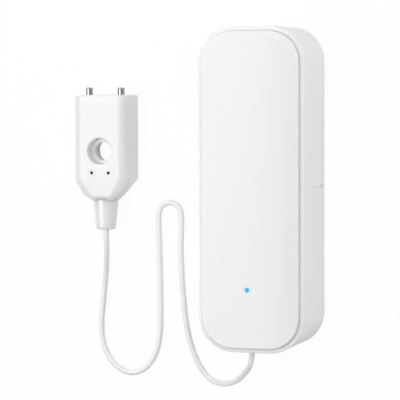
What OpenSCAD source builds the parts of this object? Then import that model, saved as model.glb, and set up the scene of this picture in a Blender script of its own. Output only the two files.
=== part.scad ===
// Water leak sensor: a slim battery-powered unit with a wired two-pin probe.
// The unit lies on its back. Origin: middle of the unit's back face.
// +X is the unit's right side, +Y its top end, +Z its front.

/* [Sensor unit] */
// Length of the unit along Y
unit_h = 110; // [108:1:124]
// Width of the unit along X
unit_w = 36.8; // [36:0.2:44]
// Depth from the back face to the rim
body_d = 27.4; // [26.4:0.2:34]
// Outer corner radius of the unit
corner_r = 12; // [10:0.5:13]
// Thickness of the side and end walls, which is also the width of the rim
wall = 1.5; // [1.3:0.1:1.8]
// Thickness of the back walls
back_wall = 1.6; // [1.2:0.1:2.2]
// Rounding along the back edges
back_edge_r = 0.8; // [0.3:0.1:1.2]
// Rounding along the outer edge of the rim
rim_edge_r = 0.3; // [0.1:0.1:0.5]
// Width of the parting line between the two rear shells
seam_gap = 0.2; // [0.1:0.02:0.3]

/* [Front cover] */
// Height of the front panel above the rim
panel_proud = 1.7; // [1:0.1:2.5]
// Thickness of the front panel
panel_t = 1.8; // [1.4:0.1:2.4]
// Gap between the panel's skirt and the walls round it
panel_gap = 0.25; // [0.15:0.05:0.4]
// Rounding along the panel's front edge
panel_edge_r = 0.5; // [0.2:0.1:0.9]
// Thickness of the skirt under the panel
skirt_t = 1.4; // [1:0.1:1.8]
// Height of the skirt under the panel
skirt_h = 4; // [3:0.5:5]
// Length of a snap hook along the side wall
hook_l = 5; // [4:0.5:7]
// Reach of a snap hook below the skirt
hook_drop = 5; // [4:0.5:6]
// How far a snap hook's nose enters the side wall
hook_nose = 0.6; // [0.4:0.1:0.7]

/* [Battery bay] */
// Diameter of an AAA cell
cell_d = 10.5; // [10:0.1:10.8]
// Length of an AAA cell with its button
cell_l = 44.5; // [43.5:0.1:44.9]
// Working length of a contact spring
spring_l = 3; // [2.6:0.1:3.4]
// Wire diameter of a contact spring
spring_wire_d = 0.5; // [0.4:0.05:0.6]
// Turns of a contact spring
spring_turns = 3; // [2:1:4]
// Thickness of a contact plate
plate_t = 0.4; // [0.3:0.05:0.5]
// Gap between a cell's button and its contact plate
button_gap = 0.4; // [0.3:0.1:0.6]
// Thickness of the bay's floor, which is the deck under the board
deck_t = 1.6; // [1.4:0.1:2]
// Thickness of the bay's side and end walls
bay_wall = 1.1; // [0.9:0.1:1.3]
// Room between the bay's end wall and the cover's end
bay_gap = 1.5; // [0.5:0.1:4]
// Depth of the plug that closes the lower shell and enters the cover
plug_l = 1.6; // [1.4:0.1:2]
// Clearance of the sliding cover on everything inside it
slide_gap = 0.25; // [0.2:0.05:0.35]
// Height of a guide rib on the cover's side wall
rib_w = 1.2; // [1:0.1:1.5]
// Size of the pry slot at the parting line, along Z
slot_w = 1.5; // [1:0.1:2]
// Height of the pry slot across the parting line
slot_h = 0.8; // [0.6:0.1:1.2]
// Distance of the pry slot from the back face
slot_z = 4.3; // [3.5:0.1:6]

/* [Electronics] */
// Thickness of the main board
board_t = 1.6; // [1:0.2:1.6]
// Height of the board above the deck
board_lift = 2.6; // [2.5:0.1:3]
// Gap from the board's edge to the walls
board_gap = 2.1; // [2:0.1:3]
// Place of the status light across the panel
light_x = -0.9; // [-3:0.1:3]
// Distance of the status light from the unit's lower end
light_rise = 21.4; // [19:0.1:27]
// Diameter of the light pipe where it shows in the panel
light_d = 1.4; // [1:0.1:2]
// Diameter of the pairing button's pin
button_d = 1.7; // [1.4:0.1:1.9]
// Travel of the pairing button
button_travel = 0.3; // [0.2:0.05:0.35]
// Distance of the pairing button from the bay's lower end
button_along = 18.8; // [14:0.2:30]
// Shank diameter of the screws
screw_d = 2; // [1.6:0.1:2.2]
// Head diameter of the screws
screw_head_d = 3.4; // [3:0.1:3.6]
// Head height of the screws
screw_head_h = 1.2; // [1:0.1:1.3]
// Clearance of pieces that are pushed into a bore
fit_gap = 0.05; // [0.03:0.01:0.1]

/* [Probe] */
// Width of the probe
probe_w = 21; // [20.5:0.1:24]
// Length of the probe's body
probe_l = 37.4; // [37:0.1:44]
// Depth of the probe
probe_d = 11.8; // [11.6:0.1:14]
// Radius of the probe's front edges
probe_edge_r = 4; // [3:0.1:4.5]
// Radius of the probe's back edges
probe_back_r = 1.5; // [1:0.1:2]
// Rounding at the probe's top end
probe_top_r = 0.9; // [0.5:0.1:1.2]
// Length of the tapered shoulders
shoulder_l = 8.2; // [7.5:0.1:9]
// Width of the probe's lower end
foot_w = 10.4; // [9.8:0.1:12]
// Thickness of the probe's walls
probe_wall = 2; // [1.8:0.1:2.2]
// Diameter of the counterbore in the probe's front
counterbore_d = 9.3; // [8.6:0.1:10]
// Depth of the counterbore
counterbore_depth = 3.4; // [3:0.1:3.8]
// Diameter of the screw hole through the probe
screw_hole_d = 6.5; // [5:0.1:7]
// Thickness of the web that the screw hole goes through
web_t = 2.2; // [1.8:0.1:2.6]
// Distance of the screw hole below the probe's top end
screw_hole_drop = 19.8; // [19.4:0.1:21]
// Diameter of the two resin holes
dot_d = 1; // [0.8:0.1:1.4]
// Distance between the two resin holes
dot_pitch = 6.3; // [4:0.1:8]
// Distance of the resin holes below the screw hole
dot_drop = 7.6; // [7.2:0.1:8]
// Diameter of a contact pin
pin_d = 2.5; // [2:0.1:3]
// Reach of a contact pin above the probe's top end
pin_reach = 2.6; // [1.5:0.1:4]
// Distance between the contact pins
pin_pitch = 12; // [10:0.1:13]

/* [Cable] */
// Diameter of the cable
cable_d = 2; // [1.8:0.1:2.2]
// Length of the boot on the probe
boot_l = 10.3; // [8:0.1:12]
// Diameter of the boot at the probe
boot_d = 9.1; // [8.5:0.1:9.6]
// Diameter of the boot at the cable
boot_end_d = 7; // [5:0.1:7.5]
// Rounding of the boot's end
boot_end_r = 1; // [0.5:0.1:1.2]
// Place of the cable's exit across the unit's lower end
exit_x = -1.6; // [-3:0.1:3]
// Diameter of the exit hole in the lower end
exit_d = 4.4; // [3.6:0.1:4.8]
// Thickness of the grommet's outer flange
flange_t = 0.5; // [0.4:0.1:0.8]

/* [Hidden] */
$fn = 64;

// Extra length of a cutter past the face that it cuts
cut = 1;
white = "#f4f4f3";
nickel = "#c9c9c6";
steel = "#a9acb0";
board_green = "#1f6b46";

// Unit: the inner faces of the walls, and the panel inside them
slide_inset = wall + slide_gap;
panel_inset = wall + panel_gap;
skirt_inset = panel_inset + skirt_t;
board_inset = wall + board_gap;
panel_z = body_d + panel_proud;
panel_under_z = panel_z - panel_t;
skirt_z = panel_under_z - skirt_h;

// Battery bay: its length sets the parting line, its depth sets the deck
bay_l = cell_l + spring_l + 2 * plate_t + button_gap;
bay_end = unit_h / 2 - wall - bay_gap - bay_wall;
bay_y = bay_end - bay_l;
seam_y = bay_y - plug_l;
cover_y = seam_y + seam_gap / 2;
housing_y = seam_y - seam_gap / 2;
cell_seat = 0.3;
cell_z = back_wall + slide_gap + cell_seat + cell_d / 2;
deck_z = cell_z + cell_d / 2 + cell_seat;
deck_top = deck_z + deck_t;
bay_w = 2 * cell_d + 3 * cell_seat;
cell_x = (cell_d + cell_seat) / 2;
cradle_t = 1.2;
cradle_h = 2.8;
cradle_inset = 13.5;
cradle_ys = [bay_y + cradle_inset, bay_end - cradle_inset - cradle_t];
left_cell_y = bay_y + plate_t + spring_l;
right_cell_y = bay_y + plate_t + button_gap;
plate_w = 8;
plate_drop = 3.6;
plate_z = cell_z - plate_drop;
dimple_d = 3;
dimple_gap = 0.1;
spring_r = 3;
spring_tip_r = 1.4;
spring_sides = 6;
rings_per_turn = 10;
cell_button_h = 0.8;
cell_button_d = 3.8;
cell_cap_inset = 0.8;
cell_edge = 0.3;
cell_cap_step = 0.1;
tail_w = 2;
tail_gap = 0.15;

// Boards and what stands on them
board_z = deck_top + board_lift;
board_top = board_z + board_t;
boss_d = 4.8;
boss_shoulder_d = 7.4;
boss_gap = 0.3;
boss_inset = 4.5;
boss_ys = [bay_y + boss_inset, bay_end - boss_inset];
bore_d = screw_d + 2 * fit_gap;
bore_spare = 1;
screw_bite = 6;
cross_l = 1.8;
cross_w = 0.4;
cross_depth = 0.6;
post_d = 5;
post_edge = 3.6;
post_end = 1;
post_drop = 9;
post_x = unit_w / 2 - board_inset - post_edge;
post_ys = [-unit_h / 2 + corner_r + post_end, seam_y - post_drop];
pad_d = 3;
pad_inset = 1;
hook_end = 4;
hook_setback = 15;
hook_ys = [-unit_h / 2 + corner_r + hook_end, seam_y - hook_setback];
hook_lead = 1;
hook_land = 0.8;
pocket_gap = 0.3;
pocket_depth = hook_nose + 0.2;
rib_start = 1.2;
module_w = 16;
module_l = 24;
module_t = 0.8;
module_y = bay_y + bay_l / 2;
light_y = -unit_h / 2 + light_rise;
shield_w = 14;
shield_l = 15.5;
shield_h = 2.2;
shield_drop = 3.4;
shield_r = 0.8;
notches = 8;
notch_pitch = 2;
notch_first = 1.5;
notch_d = 0.8;
led_w = 1.6;
led_l = 0.8;
led_lens_w = 1.1;
led_h = 0.7;
led_gap = 0.2;
pipe_stem_d = 2.4;
pipe_flange_d = 3.2;
pipe_flange_h = 1;
tube_d = 5.4;
tube_h = 3.5;

// Pairing switch on the board's back, and the button under it
button_y = bay_y + button_along;
button_side = 0.4;
button_x = bay_w / 2 + bay_wall + button_side + button_d / 2;
switch_w = 2.8;
switch_l = 4;
switch_h = 1.6;
dish_d = 1.4;
dish_depth = 0.2;
button_flange_d = 2.8;
button_flange_h = 0.6;
button_stop = 0.05;
button_reach = 2;
button_gap_r = 0.25;

// Cable: the exit, the plug on the board and the leads between them
flange_lip = 0.7;
flange_d = exit_d + 2 * flange_lip;
grommet_in = 0.8;
header_w = 7;
header_l = 6;
header_h = 4;
header_wall = 0.7;
header_setback = 7;
header_y = -unit_h / 2 + wall + header_setback;
exit_z = board_top + header_h / 2;
plug_gap = 0.1;
plug_tail = 1.6;
lead_d = 1;
lead_pitch = 2;
header_pin_d = 0.6;
header_pin_l = 3;

// Probe: its place beside the unit, its cavity and what fills it
probe_x = -60.4;
probe_y = 13;
probe_top = probe_y + probe_l / 2;
probe_foot = probe_y - probe_l / 2;
hole_y = probe_top - screw_hole_drop;
web_z = probe_d - counterbore_depth - web_t;
relief_step = 0.5;
relief_d = counterbore_d - relief_step;
boss_wall = 1.4;
foot_edge_r = 2.2;
foot_lift = 0.6;
plate_ledge = 0.9;
back_plate_t = 1.2;
back_plate_gap = 0.1;
cavity_inset = 0.4;
cavity_w = probe_w - 2 * (probe_wall + cavity_inset);
cavity_y = probe_foot + shoulder_l + cavity_inset;
cavity_l = probe_top - probe_wall - cavity_y;
cavity_top = probe_d - probe_wall;
probe_board_t = 1;
probe_board_z = probe_d / 2 - pin_d / 2 - probe_board_t;
probe_board_gap = 0.2;
flange_slot_gap = 0.1;
pin_root = 5;
pin_flange_d = 3.6;
pin_flange_h = 0.8;
resin_gap = 0.2;
resin_z = probe_d / 2 + pin_flange_d / 2 + resin_gap;
resin_recess = 0.3;
dot_fit = 0.05;
foot_bore_d = 4;
boot_neck_l = 4;
boot_end = probe_foot - boot_l;
grommet_end = -unit_h / 2 - flange_t;
probe_lead_pitch = 1.4;
probe_lead_in = 2;
form_sides = 40;
top_edge_sides = 24;
foot_sides = 32;

// Cable route: from the boot, round the table, up to the unit's lower end
route = [[probe_x, boot_end, probe_d / 2], [-60.4, -20, 5.8], [-60.8, -25, 4.6], [-61.7, -30.5, 2.7],
    [-62.8, -36.5, 1.3], [-63.6, -43, 1.1], [-64.2, -50, 1.1], [-63.7, -56.5, 1.1],
    [-61.2, -62.5, 1.1], [-57.2, -66.3, 1.1], [-52.2, -67.6, 1.1], [-47.2, -65.4, 1.1],
    [-43.6, -60.2, 1.1], [-42, -53.5, 1.1], [-41.7, -46, 1.1], [-41.7, -38, 1.1],
    [-41.8, -30, 1.1], [-42, -22, 1.1], [-42.2, -15.5, 1.1], [-42.2, -10.6, 1.1],
    [-41, -7.6, 1.1], [-38, -6.4, 1.1], [-35, -7.6, 1.1], [-33.8, -10.6, 1.1],
    [-33.8, -15.5, 1.1], [-34, -23, 1.1], [-33.7, -31, 1.1], [-33.1, -39.5, 1.1],
    [-32.2, -48, 1.1], [-30.5, -56, 1.1], [-27.4, -63.5, 1.1], [-23.2, -68.6, 1.3],
    [-17.2, -69.8, 4.2], [-10.4, -67.2, 10.8], [-5.6, -63.6, 16.6], [-2.6, -60.2, 20],
    [exit_x, grommet_end, exit_z]];
cable_sides = 8;
rings_per_step = 2;

// Rounded rectangle about the origin
module rounded_rect(w, h, r) {
    square([w - 2 * r, h], center = true);
    square([w, h - 2 * r], center = true);
    for (x = [-1, 1], y = [-1, 1])
        translate([x * (w / 2 - r), y * (h / 2 - r)])
            circle(r);
}

// The unit's outline, drawn in from the outside by inset
module unit_outline(inset) {
    rounded_rect(unit_w - 2 * inset, unit_h - 2 * inset, corner_r - inset);
}

// Sweeps a wall profile round a rounded rectangle. The profile's x runs out from the corner's centre.
module swept_round(w, h, r) {
    side_x = w / 2 - r;
    side_y = h / 2 - r;
    for (i = [0, 1])
        rotate(180 * i) {
            translate([side_x, side_y])
                rotate_extrude(angle = 90)
                    children();
            translate([-side_x, side_y])
                rotate(90)
                    rotate_extrude(angle = 90)
                        children();
            translate([side_x, side_y])
                rotate([90, 0, 0])
                    linear_extrude(2 * side_y)
                        children();
            translate([-side_x, side_y])
                rotate([90, 0, 90])
                    linear_extrude(2 * side_x)
                        children();
        }
}

// Wall and back of the unit's outer shells, with rounded back and rim edges
module shell_profile() {
    difference() {
        union() {
            translate([0, back_edge_r])
                square([corner_r, body_d - back_edge_r - rim_edge_r]);
            square([corner_r - back_edge_r, back_wall]);
            translate([0, back_edge_r])
                square([corner_r - rim_edge_r, body_d - back_edge_r]);
            translate([corner_r - back_edge_r, back_edge_r])
                circle(back_edge_r);
            translate([corner_r - rim_edge_r, body_d - rim_edge_r])
                circle(rim_edge_r);
        }
        translate([-cut, back_wall])
            square([corner_r - wall + cut, body_d]);
    }
}

// Both outer shells as one tray, before the parting line is cut
module outer_tray() {
    swept_round(unit_w, unit_h, corner_r)
        shell_profile();
    translate([-(unit_w / 2 - corner_r), -(unit_h / 2 - corner_r), 0])
        cube([unit_w - 2 * corner_r, unit_h - 2 * corner_r, back_wall]);
}

// Everything above y, or below it
module half_space(y, upper) {
    translate([-unit_w, upper ? y : y - 2 * unit_h, -unit_h / 2])
        cube([2 * unit_w, 2 * unit_h, unit_h]);
}

// Pry slots through both side walls, across the parting line
module pry_slots() {
    for (x = [-1, 1])
        translate([x * (unit_w / 2 - wall / 2), seam_y, slot_z])
            cube([wall + cut, slot_h, slot_w], center = true);
}

// A cylinder along +Y that starts at the given point
module rod_y(p, d, l) {
    translate(p)
        rotate([-90, 0, 0])
            cylinder(d = d, h = l);
}

// Pan-head screw at the origin, head below the seat and shank along +Z
module screw() {
    translate([0, 0, -screw_head_h])
        difference() {
            cylinder(d = screw_head_d, h = screw_head_h);
            for (a = [0, 90])
                rotate(a)
                    translate([-cross_l / 2, -cross_w / 2, -cut])
                        cube([cross_l, cross_w, cut + cross_depth]);
        }
    cylinder(d = screw_d, h = deck_t + screw_bite);
}

// Front panel with its skirt, snap hooks, screw bosses and light-pipe tube
module front_cover() {
    panel_r = corner_r - panel_inset;
    color(white)
        difference() {
            union() {
                swept_round(unit_w - 2 * panel_inset, unit_h - 2 * panel_inset, panel_r)
                    panel_profile(panel_r);
                translate([-(unit_w / 2 - corner_r), -(unit_h / 2 - corner_r), panel_under_z])
                    cube([unit_w - 2 * corner_r, unit_h - 2 * corner_r, panel_t]);
                for (x = [-1, 1], y = hook_ys)
                    translate([0, y, 0])
                        snap_hook(x);
                for (y = boss_ys)
                    translate([0, y, 0]) {
                        translate([0, 0, deck_top])
                            cylinder(d = boss_d, h = panel_under_z - deck_top);
                        translate([0, 0, board_top + fit_gap])
                            cylinder(d = boss_shoulder_d, h = panel_under_z - board_top - fit_gap);
                    }
                translate([light_x, light_y, panel_under_z - tube_h])
                    cylinder(d = tube_d, h = tube_h);
            }
            for (y = boss_ys)
                translate([0, y, deck_top - cut])
                    cylinder(d = bore_d, h = screw_bite + bore_spare + cut);
            translate([light_x, light_y, panel_under_z - tube_h - cut])
                cylinder(d = pipe_flange_d + 2 * fit_gap, h = tube_h + cut);
            translate([light_x, light_y, panel_under_z - cut])
                cylinder(d = light_d + 2 * fit_gap, h = panel_t + 2 * cut);
            rod_y([exit_x, -unit_h / 2, exit_z], flange_d + 2 * panel_gap, skirt_inset + cut);
        }
}

// Panel plate and skirt, with a rounded front edge
module panel_profile(r) {
    difference() {
        union() {
            translate([0, skirt_z])
                square([r, panel_z - panel_edge_r - skirt_z]);
            translate([0, skirt_z])
                square([r - panel_edge_r, panel_z - skirt_z]);
            translate([r - panel_edge_r, panel_z - panel_edge_r])
                circle(panel_edge_r);
        }
        translate([-cut, skirt_z - cut])
            square([r - skirt_t + cut, skirt_h + cut]);
    }
}

// Snap hook on one side of the skirt: a tongue with a nose that points outwards
module snap_hook(side) {
    skirt_x = unit_w / 2 - panel_inset;
    nose_x = skirt_x + panel_gap + hook_nose;
    tongue_z = skirt_z - hook_drop;
    nose_z = tongue_z + hook_lead;
    rotate([90, 0, 0])
        translate([0, 0, -hook_l / 2])
            linear_extrude(hook_l)
                polygon([for (p = [[skirt_x - skirt_t, skirt_z], [skirt_x - skirt_t, tongue_z],
                    [skirt_x, tongue_z], [nose_x, nose_z], [nose_x, nose_z + hook_land],
                    [skirt_x, nose_z + hook_land], [skirt_x, skirt_z]]) [side * p[0], p[1]]]);
}

// Clear rod that carries the status light from the board to the panel
module light_pipe() {
    color("#9fd0ff")
        translate([light_x, light_y, 0]) {
            translate([0, 0, panel_under_z])
                cylinder(d = light_d, h = panel_t);
            translate([0, 0, panel_under_z - pipe_flange_h])
                cylinder(d = pipe_flange_d, h = pipe_flange_h);
            translate([0, 0, board_top + led_h + led_gap])
                cylinder(d = pipe_stem_d, h = panel_under_z - pipe_flange_h - board_top - led_h - led_gap);
        }
}

// Lower outer shell with the deck, the battery bay and the board's posts
module rear_housing() {
    color(white)
        difference() {
            union() {
                intersection() {
                    outer_tray();
                    half_space(housing_y, false);
                }
                intersection() {
                    union() {
                        bay_walls();
                        deck();
                        cover_plug();
                    }
                    translate([0, 0, back_wall + slide_gap])
                        linear_extrude(body_d)
                            unit_outline(slide_inset);
                }
                bulkhead();
                board_posts();
                deck_pads();
            }
            pry_slots();
            hook_pockets();
            housing_bores();
        }
}

// Floor of the bay, from the bulkhead to the top end
module deck() {
    translate([-unit_w / 2, housing_y - wall, deck_z])
        cube([unit_w, unit_h, deck_t]);
}

// Side and end walls of the bay, and the cradles that carry the cells
module bay_walls() {
    bay_back = back_wall + slide_gap;
    for (x = [-1, 1])
        translate([x * (bay_w / 2 + bay_wall / 2) - bay_wall / 2, seam_y, bay_back])
            cube([bay_wall, plug_l + bay_l + bay_wall, deck_z - bay_back]);
    translate([-bay_w / 2, bay_end, bay_back])
        cube([bay_w, bay_wall, deck_z - bay_back]);
    for (y = cradle_ys)
        difference() {
            translate([-bay_w / 2, y, deck_z - cradle_h])
                cube([bay_w, cradle_t, cradle_h]);
            for (x = [-1, 1])
                rod_y([x * cell_x, y - cut, cell_z], cell_d + 2 * cell_seat, cradle_t + 2 * cut);
        }
}

// Step that enters the cover's lower edge
module cover_plug() {
    translate([-unit_w / 2, housing_y - wall, back_wall])
        cube([unit_w, bay_y - housing_y + wall, deck_z - back_wall]);
}

// Wall across the lower shell, under the parting line
module bulkhead() {
    translate([-unit_w / 2 + wall / 2, housing_y - wall, back_wall / 2])
        cube([unit_w - wall, wall, deck_top - back_wall / 2]);
}

// Posts that carry the board in the lower shell
module board_posts() {
    for (x = [-1, 1], y = post_ys)
        translate([x * post_x, y, back_wall / 2])
            cylinder(d = post_d, h = board_z - back_wall / 2);
}

// Pads that carry the board over the deck
module deck_pads() {
    for (x = [-1, 1], y = boss_ys)
        translate([x * (bay_w / 2 - pad_inset), y, deck_z + deck_t / 2])
            cylinder(d = pad_d, h = board_lift + deck_t / 2);
}

// Recesses in the side walls for the noses of the snap hooks
module hook_pockets() {
    pocket_h = hook_lead + hook_land;
    for (x = [-1, 1], y = hook_ys)
        translate([x * (unit_w / 2 - wall), y, skirt_z - hook_drop + pocket_h / 2])
            cube([2 * pocket_depth, hook_l + 2 * pocket_gap, pocket_h + 2 * pocket_gap], center = true);
}

// Holes for the screws, the cable, the button and the contacts' tails
module housing_bores() {
    for (x = [-1, 1], y = post_ys)
        translate([x * post_x, y, board_z - screw_bite - bore_spare])
            cylinder(d = bore_d, h = screw_bite + bore_spare + cut);
    for (y = boss_ys)
        translate([0, y, deck_z - cut])
            cylinder(d = bore_d, h = deck_t + 2 * cut);
    rod_y([exit_x, -unit_h / 2 - cut, exit_z], exit_d, wall + 2 * cut);
    translate([button_x, button_y, deck_z - cut])
        cylinder(d = button_d + 2 * button_gap_r, h = deck_t + 2 * cut);
    for (x = [-1, 1])
        translate([x * cell_x, bay_end - plate_t / 2, deck_z + deck_t / 2])
            cube([tail_w + 2 * tail_gap, plate_t + 2 * tail_gap, deck_t + 2 * cut], center = true);
}

// Upper outer shell. It slides off along +Y on its two guide ribs, which start past the switch.
module battery_cover() {
    rib_y = button_y + switch_l / 2 + rib_start;
    rib_end = unit_h / 2 - corner_r;
    color(white)
        difference() {
            union() {
                intersection() {
                    outer_tray();
                    half_space(cover_y, true);
                }
                for (x = [-1, 1])
                    translate([x * (unit_w / 2 - wall / 2 - rib_w / 2), (rib_y + rib_end) / 2,
                        deck_top + slide_gap + rib_w / 2])
                        cube([rib_w + wall / 2, rib_end - rib_y, rib_w], center = true);
            }
            pry_slots();
        }
}

// Long board in front of the deck, with holes for the bosses and the screws
module main_board() {
    color(board_green)
        translate([0, 0, board_z])
            difference() {
                linear_extrude(board_t)
                    unit_outline(board_inset);
                for (y = boss_ys)
                    translate([0, y, -cut])
                        cylinder(d = boss_d + 2 * boss_gap, h = board_t + 2 * cut);
                for (x = [-1, 1], y = post_ys)
                    translate([x * post_x, y, -cut])
                        cylinder(d = bore_d, h = board_t + 2 * cut);
            }
}

// Radio module's own small board, with notched pads along its sides
module wifi_module() {
    color("#1b3f63")
        translate([0, module_y, board_top])
            difference() {
                translate([-module_w / 2, -module_l / 2, 0])
                    cube([module_w, module_l, module_t]);
                for (x = [-1, 1], i = [0:notches - 1])
                    translate([x * module_w / 2, -module_l / 2 + notch_first + i * notch_pitch, -cut])
                        cylinder(d = notch_d, h = module_t + 2 * cut);
            }
}

// Metal can over the radio chip
module module_shield() {
    color(nickel)
        translate([0, module_y - shield_drop, board_top + module_t])
            linear_extrude(shield_h)
                rounded_rect(shield_w, shield_l, shield_r);
}

// Blue light on the board, with its clear top
module status_led() {
    color("#eef3f8")
        translate([light_x, light_y, board_top]) {
            translate([-led_w / 2, -led_l / 2, 0])
                cube([led_w, led_l, led_h / 2]);
            translate([-led_lens_w / 2, -led_l / 2, led_h / 2])
                cube([led_lens_w, led_l, led_h / 2]);
        }
}

// Small push switch on the board's back
module pairing_switch() {
    color("#2b2b2d")
        difference() {
            translate([button_x - switch_w / 2, button_y - switch_l / 2, board_z - switch_h])
                cube([switch_w, switch_l, switch_h]);
            translate([button_x, button_y, board_z - switch_h - cut])
                cylinder(d = dish_d, h = cut + dish_depth);
        }
}

// Pin that reaches the switch through the deck, with a flange that keeps it in
module pairing_button() {
    flange_z = board_z - switch_h - button_stop - button_travel - button_flange_h;
    color("#5f6469")
        translate([button_x, button_y, 0]) {
            translate([0, 0, flange_z])
                cylinder(d = button_flange_d, h = button_flange_h);
            translate([0, 0, deck_z - button_reach])
                cylinder(d = button_d, h = flange_z - deck_z + button_reach);
        }
}

// Two-way socket on the board, open towards the cable's exit
module cable_header() {
    color("#efe9d6") {
        difference() {
            translate([exit_x - header_w / 2, header_y, board_top])
                cube([header_w, header_l, header_h]);
            translate([exit_x - header_w / 2 + header_wall, header_y - cut, board_top + header_wall])
                cube([header_w - 2 * header_wall, header_l - header_wall + cut, header_h - 2 * header_wall]);
        }
        for (x = [-1, 1])
            rod_y([exit_x + x * lead_pitch / 2, header_y + header_l - header_wall - header_pin_l, exit_z],
                header_pin_d, header_pin_l + header_wall / 2);
    }
}

// Plug on the leads, pushed into the socket
module lead_plug() {
    plug_w = header_w - 2 * header_wall - 2 * plug_gap;
    plug_h = header_h - 2 * header_wall - 2 * plug_gap;
    plug_len = header_l - header_wall - plug_gap + plug_tail;
    color("#f3efe2")
        difference() {
            translate([exit_x - plug_w / 2, header_y - plug_tail, exit_z - plug_h / 2])
                cube([plug_w, plug_len, plug_h]);
            for (x = [-1, 1])
                rod_y([exit_x + x * lead_pitch / 2, header_y - plug_tail + plug_len - header_pin_l - plug_gap,
                    exit_z], header_pin_d + 2 * plug_gap, header_pin_l + plug_gap + cut);
        }
}

// The cable's two cores from the grommet to the plug
module inner_leads() {
    start = -unit_h / 2 + wall + grommet_in;
    color("#b03a34")
        for (x = [-1, 1])
            rod_y([exit_x + x * lead_pitch / 2, start, exit_z], lead_d, header_y - plug_tail - start);
}

// AAA cell along +Y from its flat end to its button
module cell() {
    jacket_l = cell_l - cell_button_h;
    rotate([-90, 0, 0])
        rotate_extrude() {
            translate([0, cell_edge])
                square([cell_d / 2, jacket_l - 2 * cell_edge]);
            square([cell_d / 2 - cell_cap_inset, jacket_l - cell_cap_step]);
            square([cell_button_d / 2, cell_l]);
        }
}

module battery_left() {
    color("#3c4046")
        translate([-cell_x, left_cell_y, cell_z])
            cell();
}

module battery_right() {
    color("#3c4046")
        translate([cell_x, right_cell_y + cell_l, cell_z])
            rotate(180)
                cell();
}

// Conical spring: points along its wire from the wide end on the plate to the narrow end
function spring_point(t) =
    let (a = 360 * spring_turns * t, r = spring_r + (spring_tip_r - spring_r) * t)
    [r * cos(a), spring_wire_d / 2 + fit_gap + (spring_l - spring_wire_d - 2 * fit_gap) * t, r * sin(a)];
function spring_path() =
    let (n = rings_per_turn * spring_turns)
    [for (i = [0:n]) spring_point(i / n)];
function path_gap(p, turn) =
    min([for (i = [0:len(p) - 1], j = [0:len(p) - 1]) if (j - i > turn / 2) norm(p[i] - p[j])]);

function unit_vec(v) = v / norm(v);

// Direction of a path at point i, with set directions at its two ends
function path_dir(p, i, first, last) =
    i == 0 ? first : i == len(p) - 1 ? last : unit_vec(p[i + 1] - p[i - 1]);

// Tube of round section along a path. The section's side stays level with the up vector.
module tube_along(path, d, sides, first, last, up) {
    rings = len(path);
    points = [for (i = [0:rings - 1])
        let (t = path_dir(path, i, first, last), u = unit_vec(cross(t, up)), v = cross(u, t))
        for (k = [0:sides - 1])
            let (a = 360 * (k + 0.5) / sides)
            path[i] + d / 2 * (cos(a) * u + sin(a) * v)];
    walls = [for (i = [0:rings - 2], k = [0:sides - 1], half = [0, 1])
        let (a = i * sides + k, b = i * sides + (k + 1) % sides)
        half == 0 ? [a, b, a + sides] : [b, b + sides, a + sides]];
    caps = [[for (k = [sides - 1:-1:0]) k], [for (k = [0:sides - 1]) (rings - 1) * sides + k]];
    polyhedron(points, concat(walls, caps), convexity = 10);
}

module contact_spring() {
    path = spring_path();
    start = unit_vec(path[1] - path[0]);
    end = unit_vec(path[len(path) - 1] - path[len(path) - 2]);
    color(nickel)
        tube_along(path, spring_wire_d, spring_sides, start, end, [0, 1, 0]);
}

module spring_left() {
    echo(least_gap_between_turns = path_gap(spring_path(), rings_per_turn) - spring_wire_d);
    translate([-cell_x, bay_y + plate_t, cell_z])
        contact_spring();
}

module spring_right() {
    translate([cell_x, bay_end - plate_t, cell_z])
        mirror([0, 1, 0])
            contact_spring();
}

// Plate at the bay's upper end with a tail up to the board
module end_plate(x, dimple) {
    translate([x - plate_w / 2, bay_end - plate_t, plate_z])
        cube([plate_w, plate_t, deck_z - plate_z - fit_gap]);
    translate([x - tail_w / 2, bay_end - plate_t, plate_z])
        cube([tail_w, plate_t, board_z - plate_z]);
    if (dimple)
        rod_y([x, bay_end - plate_t - button_gap + dimple_gap, cell_z], dimple_d, button_gap);
}

module contact_plate_positive() {
    color(nickel)
        end_plate(-cell_x, true);
}

module contact_plate_negative() {
    color(nickel)
        end_plate(cell_x, false);
}

// Plate at the bay's lower end that joins the two cells
module bridge_contact() {
    color(nickel) {
        translate([-cell_x - plate_w / 2, bay_y, plate_z])
            cube([2 * cell_x + plate_w, plate_t, deck_z - plate_z - fit_gap]);
        rod_y([cell_x, bay_y, cell_z], dimple_d, plate_t + button_gap - dimple_gap);
    }
}

module housing_screws() {
    color(steel)
        for (y = boss_ys)
            translate([0, y, deck_z])
                screw();
}

module board_screws() {
    color(steel)
        for (x = [-1, 1], y = post_ys)
            translate([x * post_x, y, board_top])
                rotate([180, 0, 0])
                    screw();
}

// Soft grommet in the exit hole, moulded on the cable
module cable_grommet() {
    color("#e9e9e7") {
        rod_y([exit_x, grommet_end, exit_z], flange_d, flange_t);
        rod_y([exit_x, -unit_h / 2, exit_z], exit_d - 2 * fit_gap, wall);
        rod_y([exit_x, -unit_h / 2 + wall, exit_z], flange_d, grommet_in);
    }
}

// Smooth curve through the route's points
function curve_point(p, i, t) =
    let (a = p[max(i - 1, 0)], b = p[i], c = p[i + 1], d = p[min(i + 2, len(p) - 1)])
    0.5 * (2 * b + (c - a) * t + (2 * a - 5 * b + 4 * c - d) * t * t + (3 * b - a - 3 * c + d) * t * t * t);
function smooth_path(p, n) =
    concat([for (i = [0:len(p) - 2], k = [0:n - 1]) curve_point(p, i, k / n)], [p[len(p) - 1]]);

module probe_cable() {
    color(white)
        tube_along(smooth_path(route, rings_per_step), cable_d, cable_sides, [0, -1, 0], [0, 1, 0], [0, 0, 1]);
}

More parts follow.
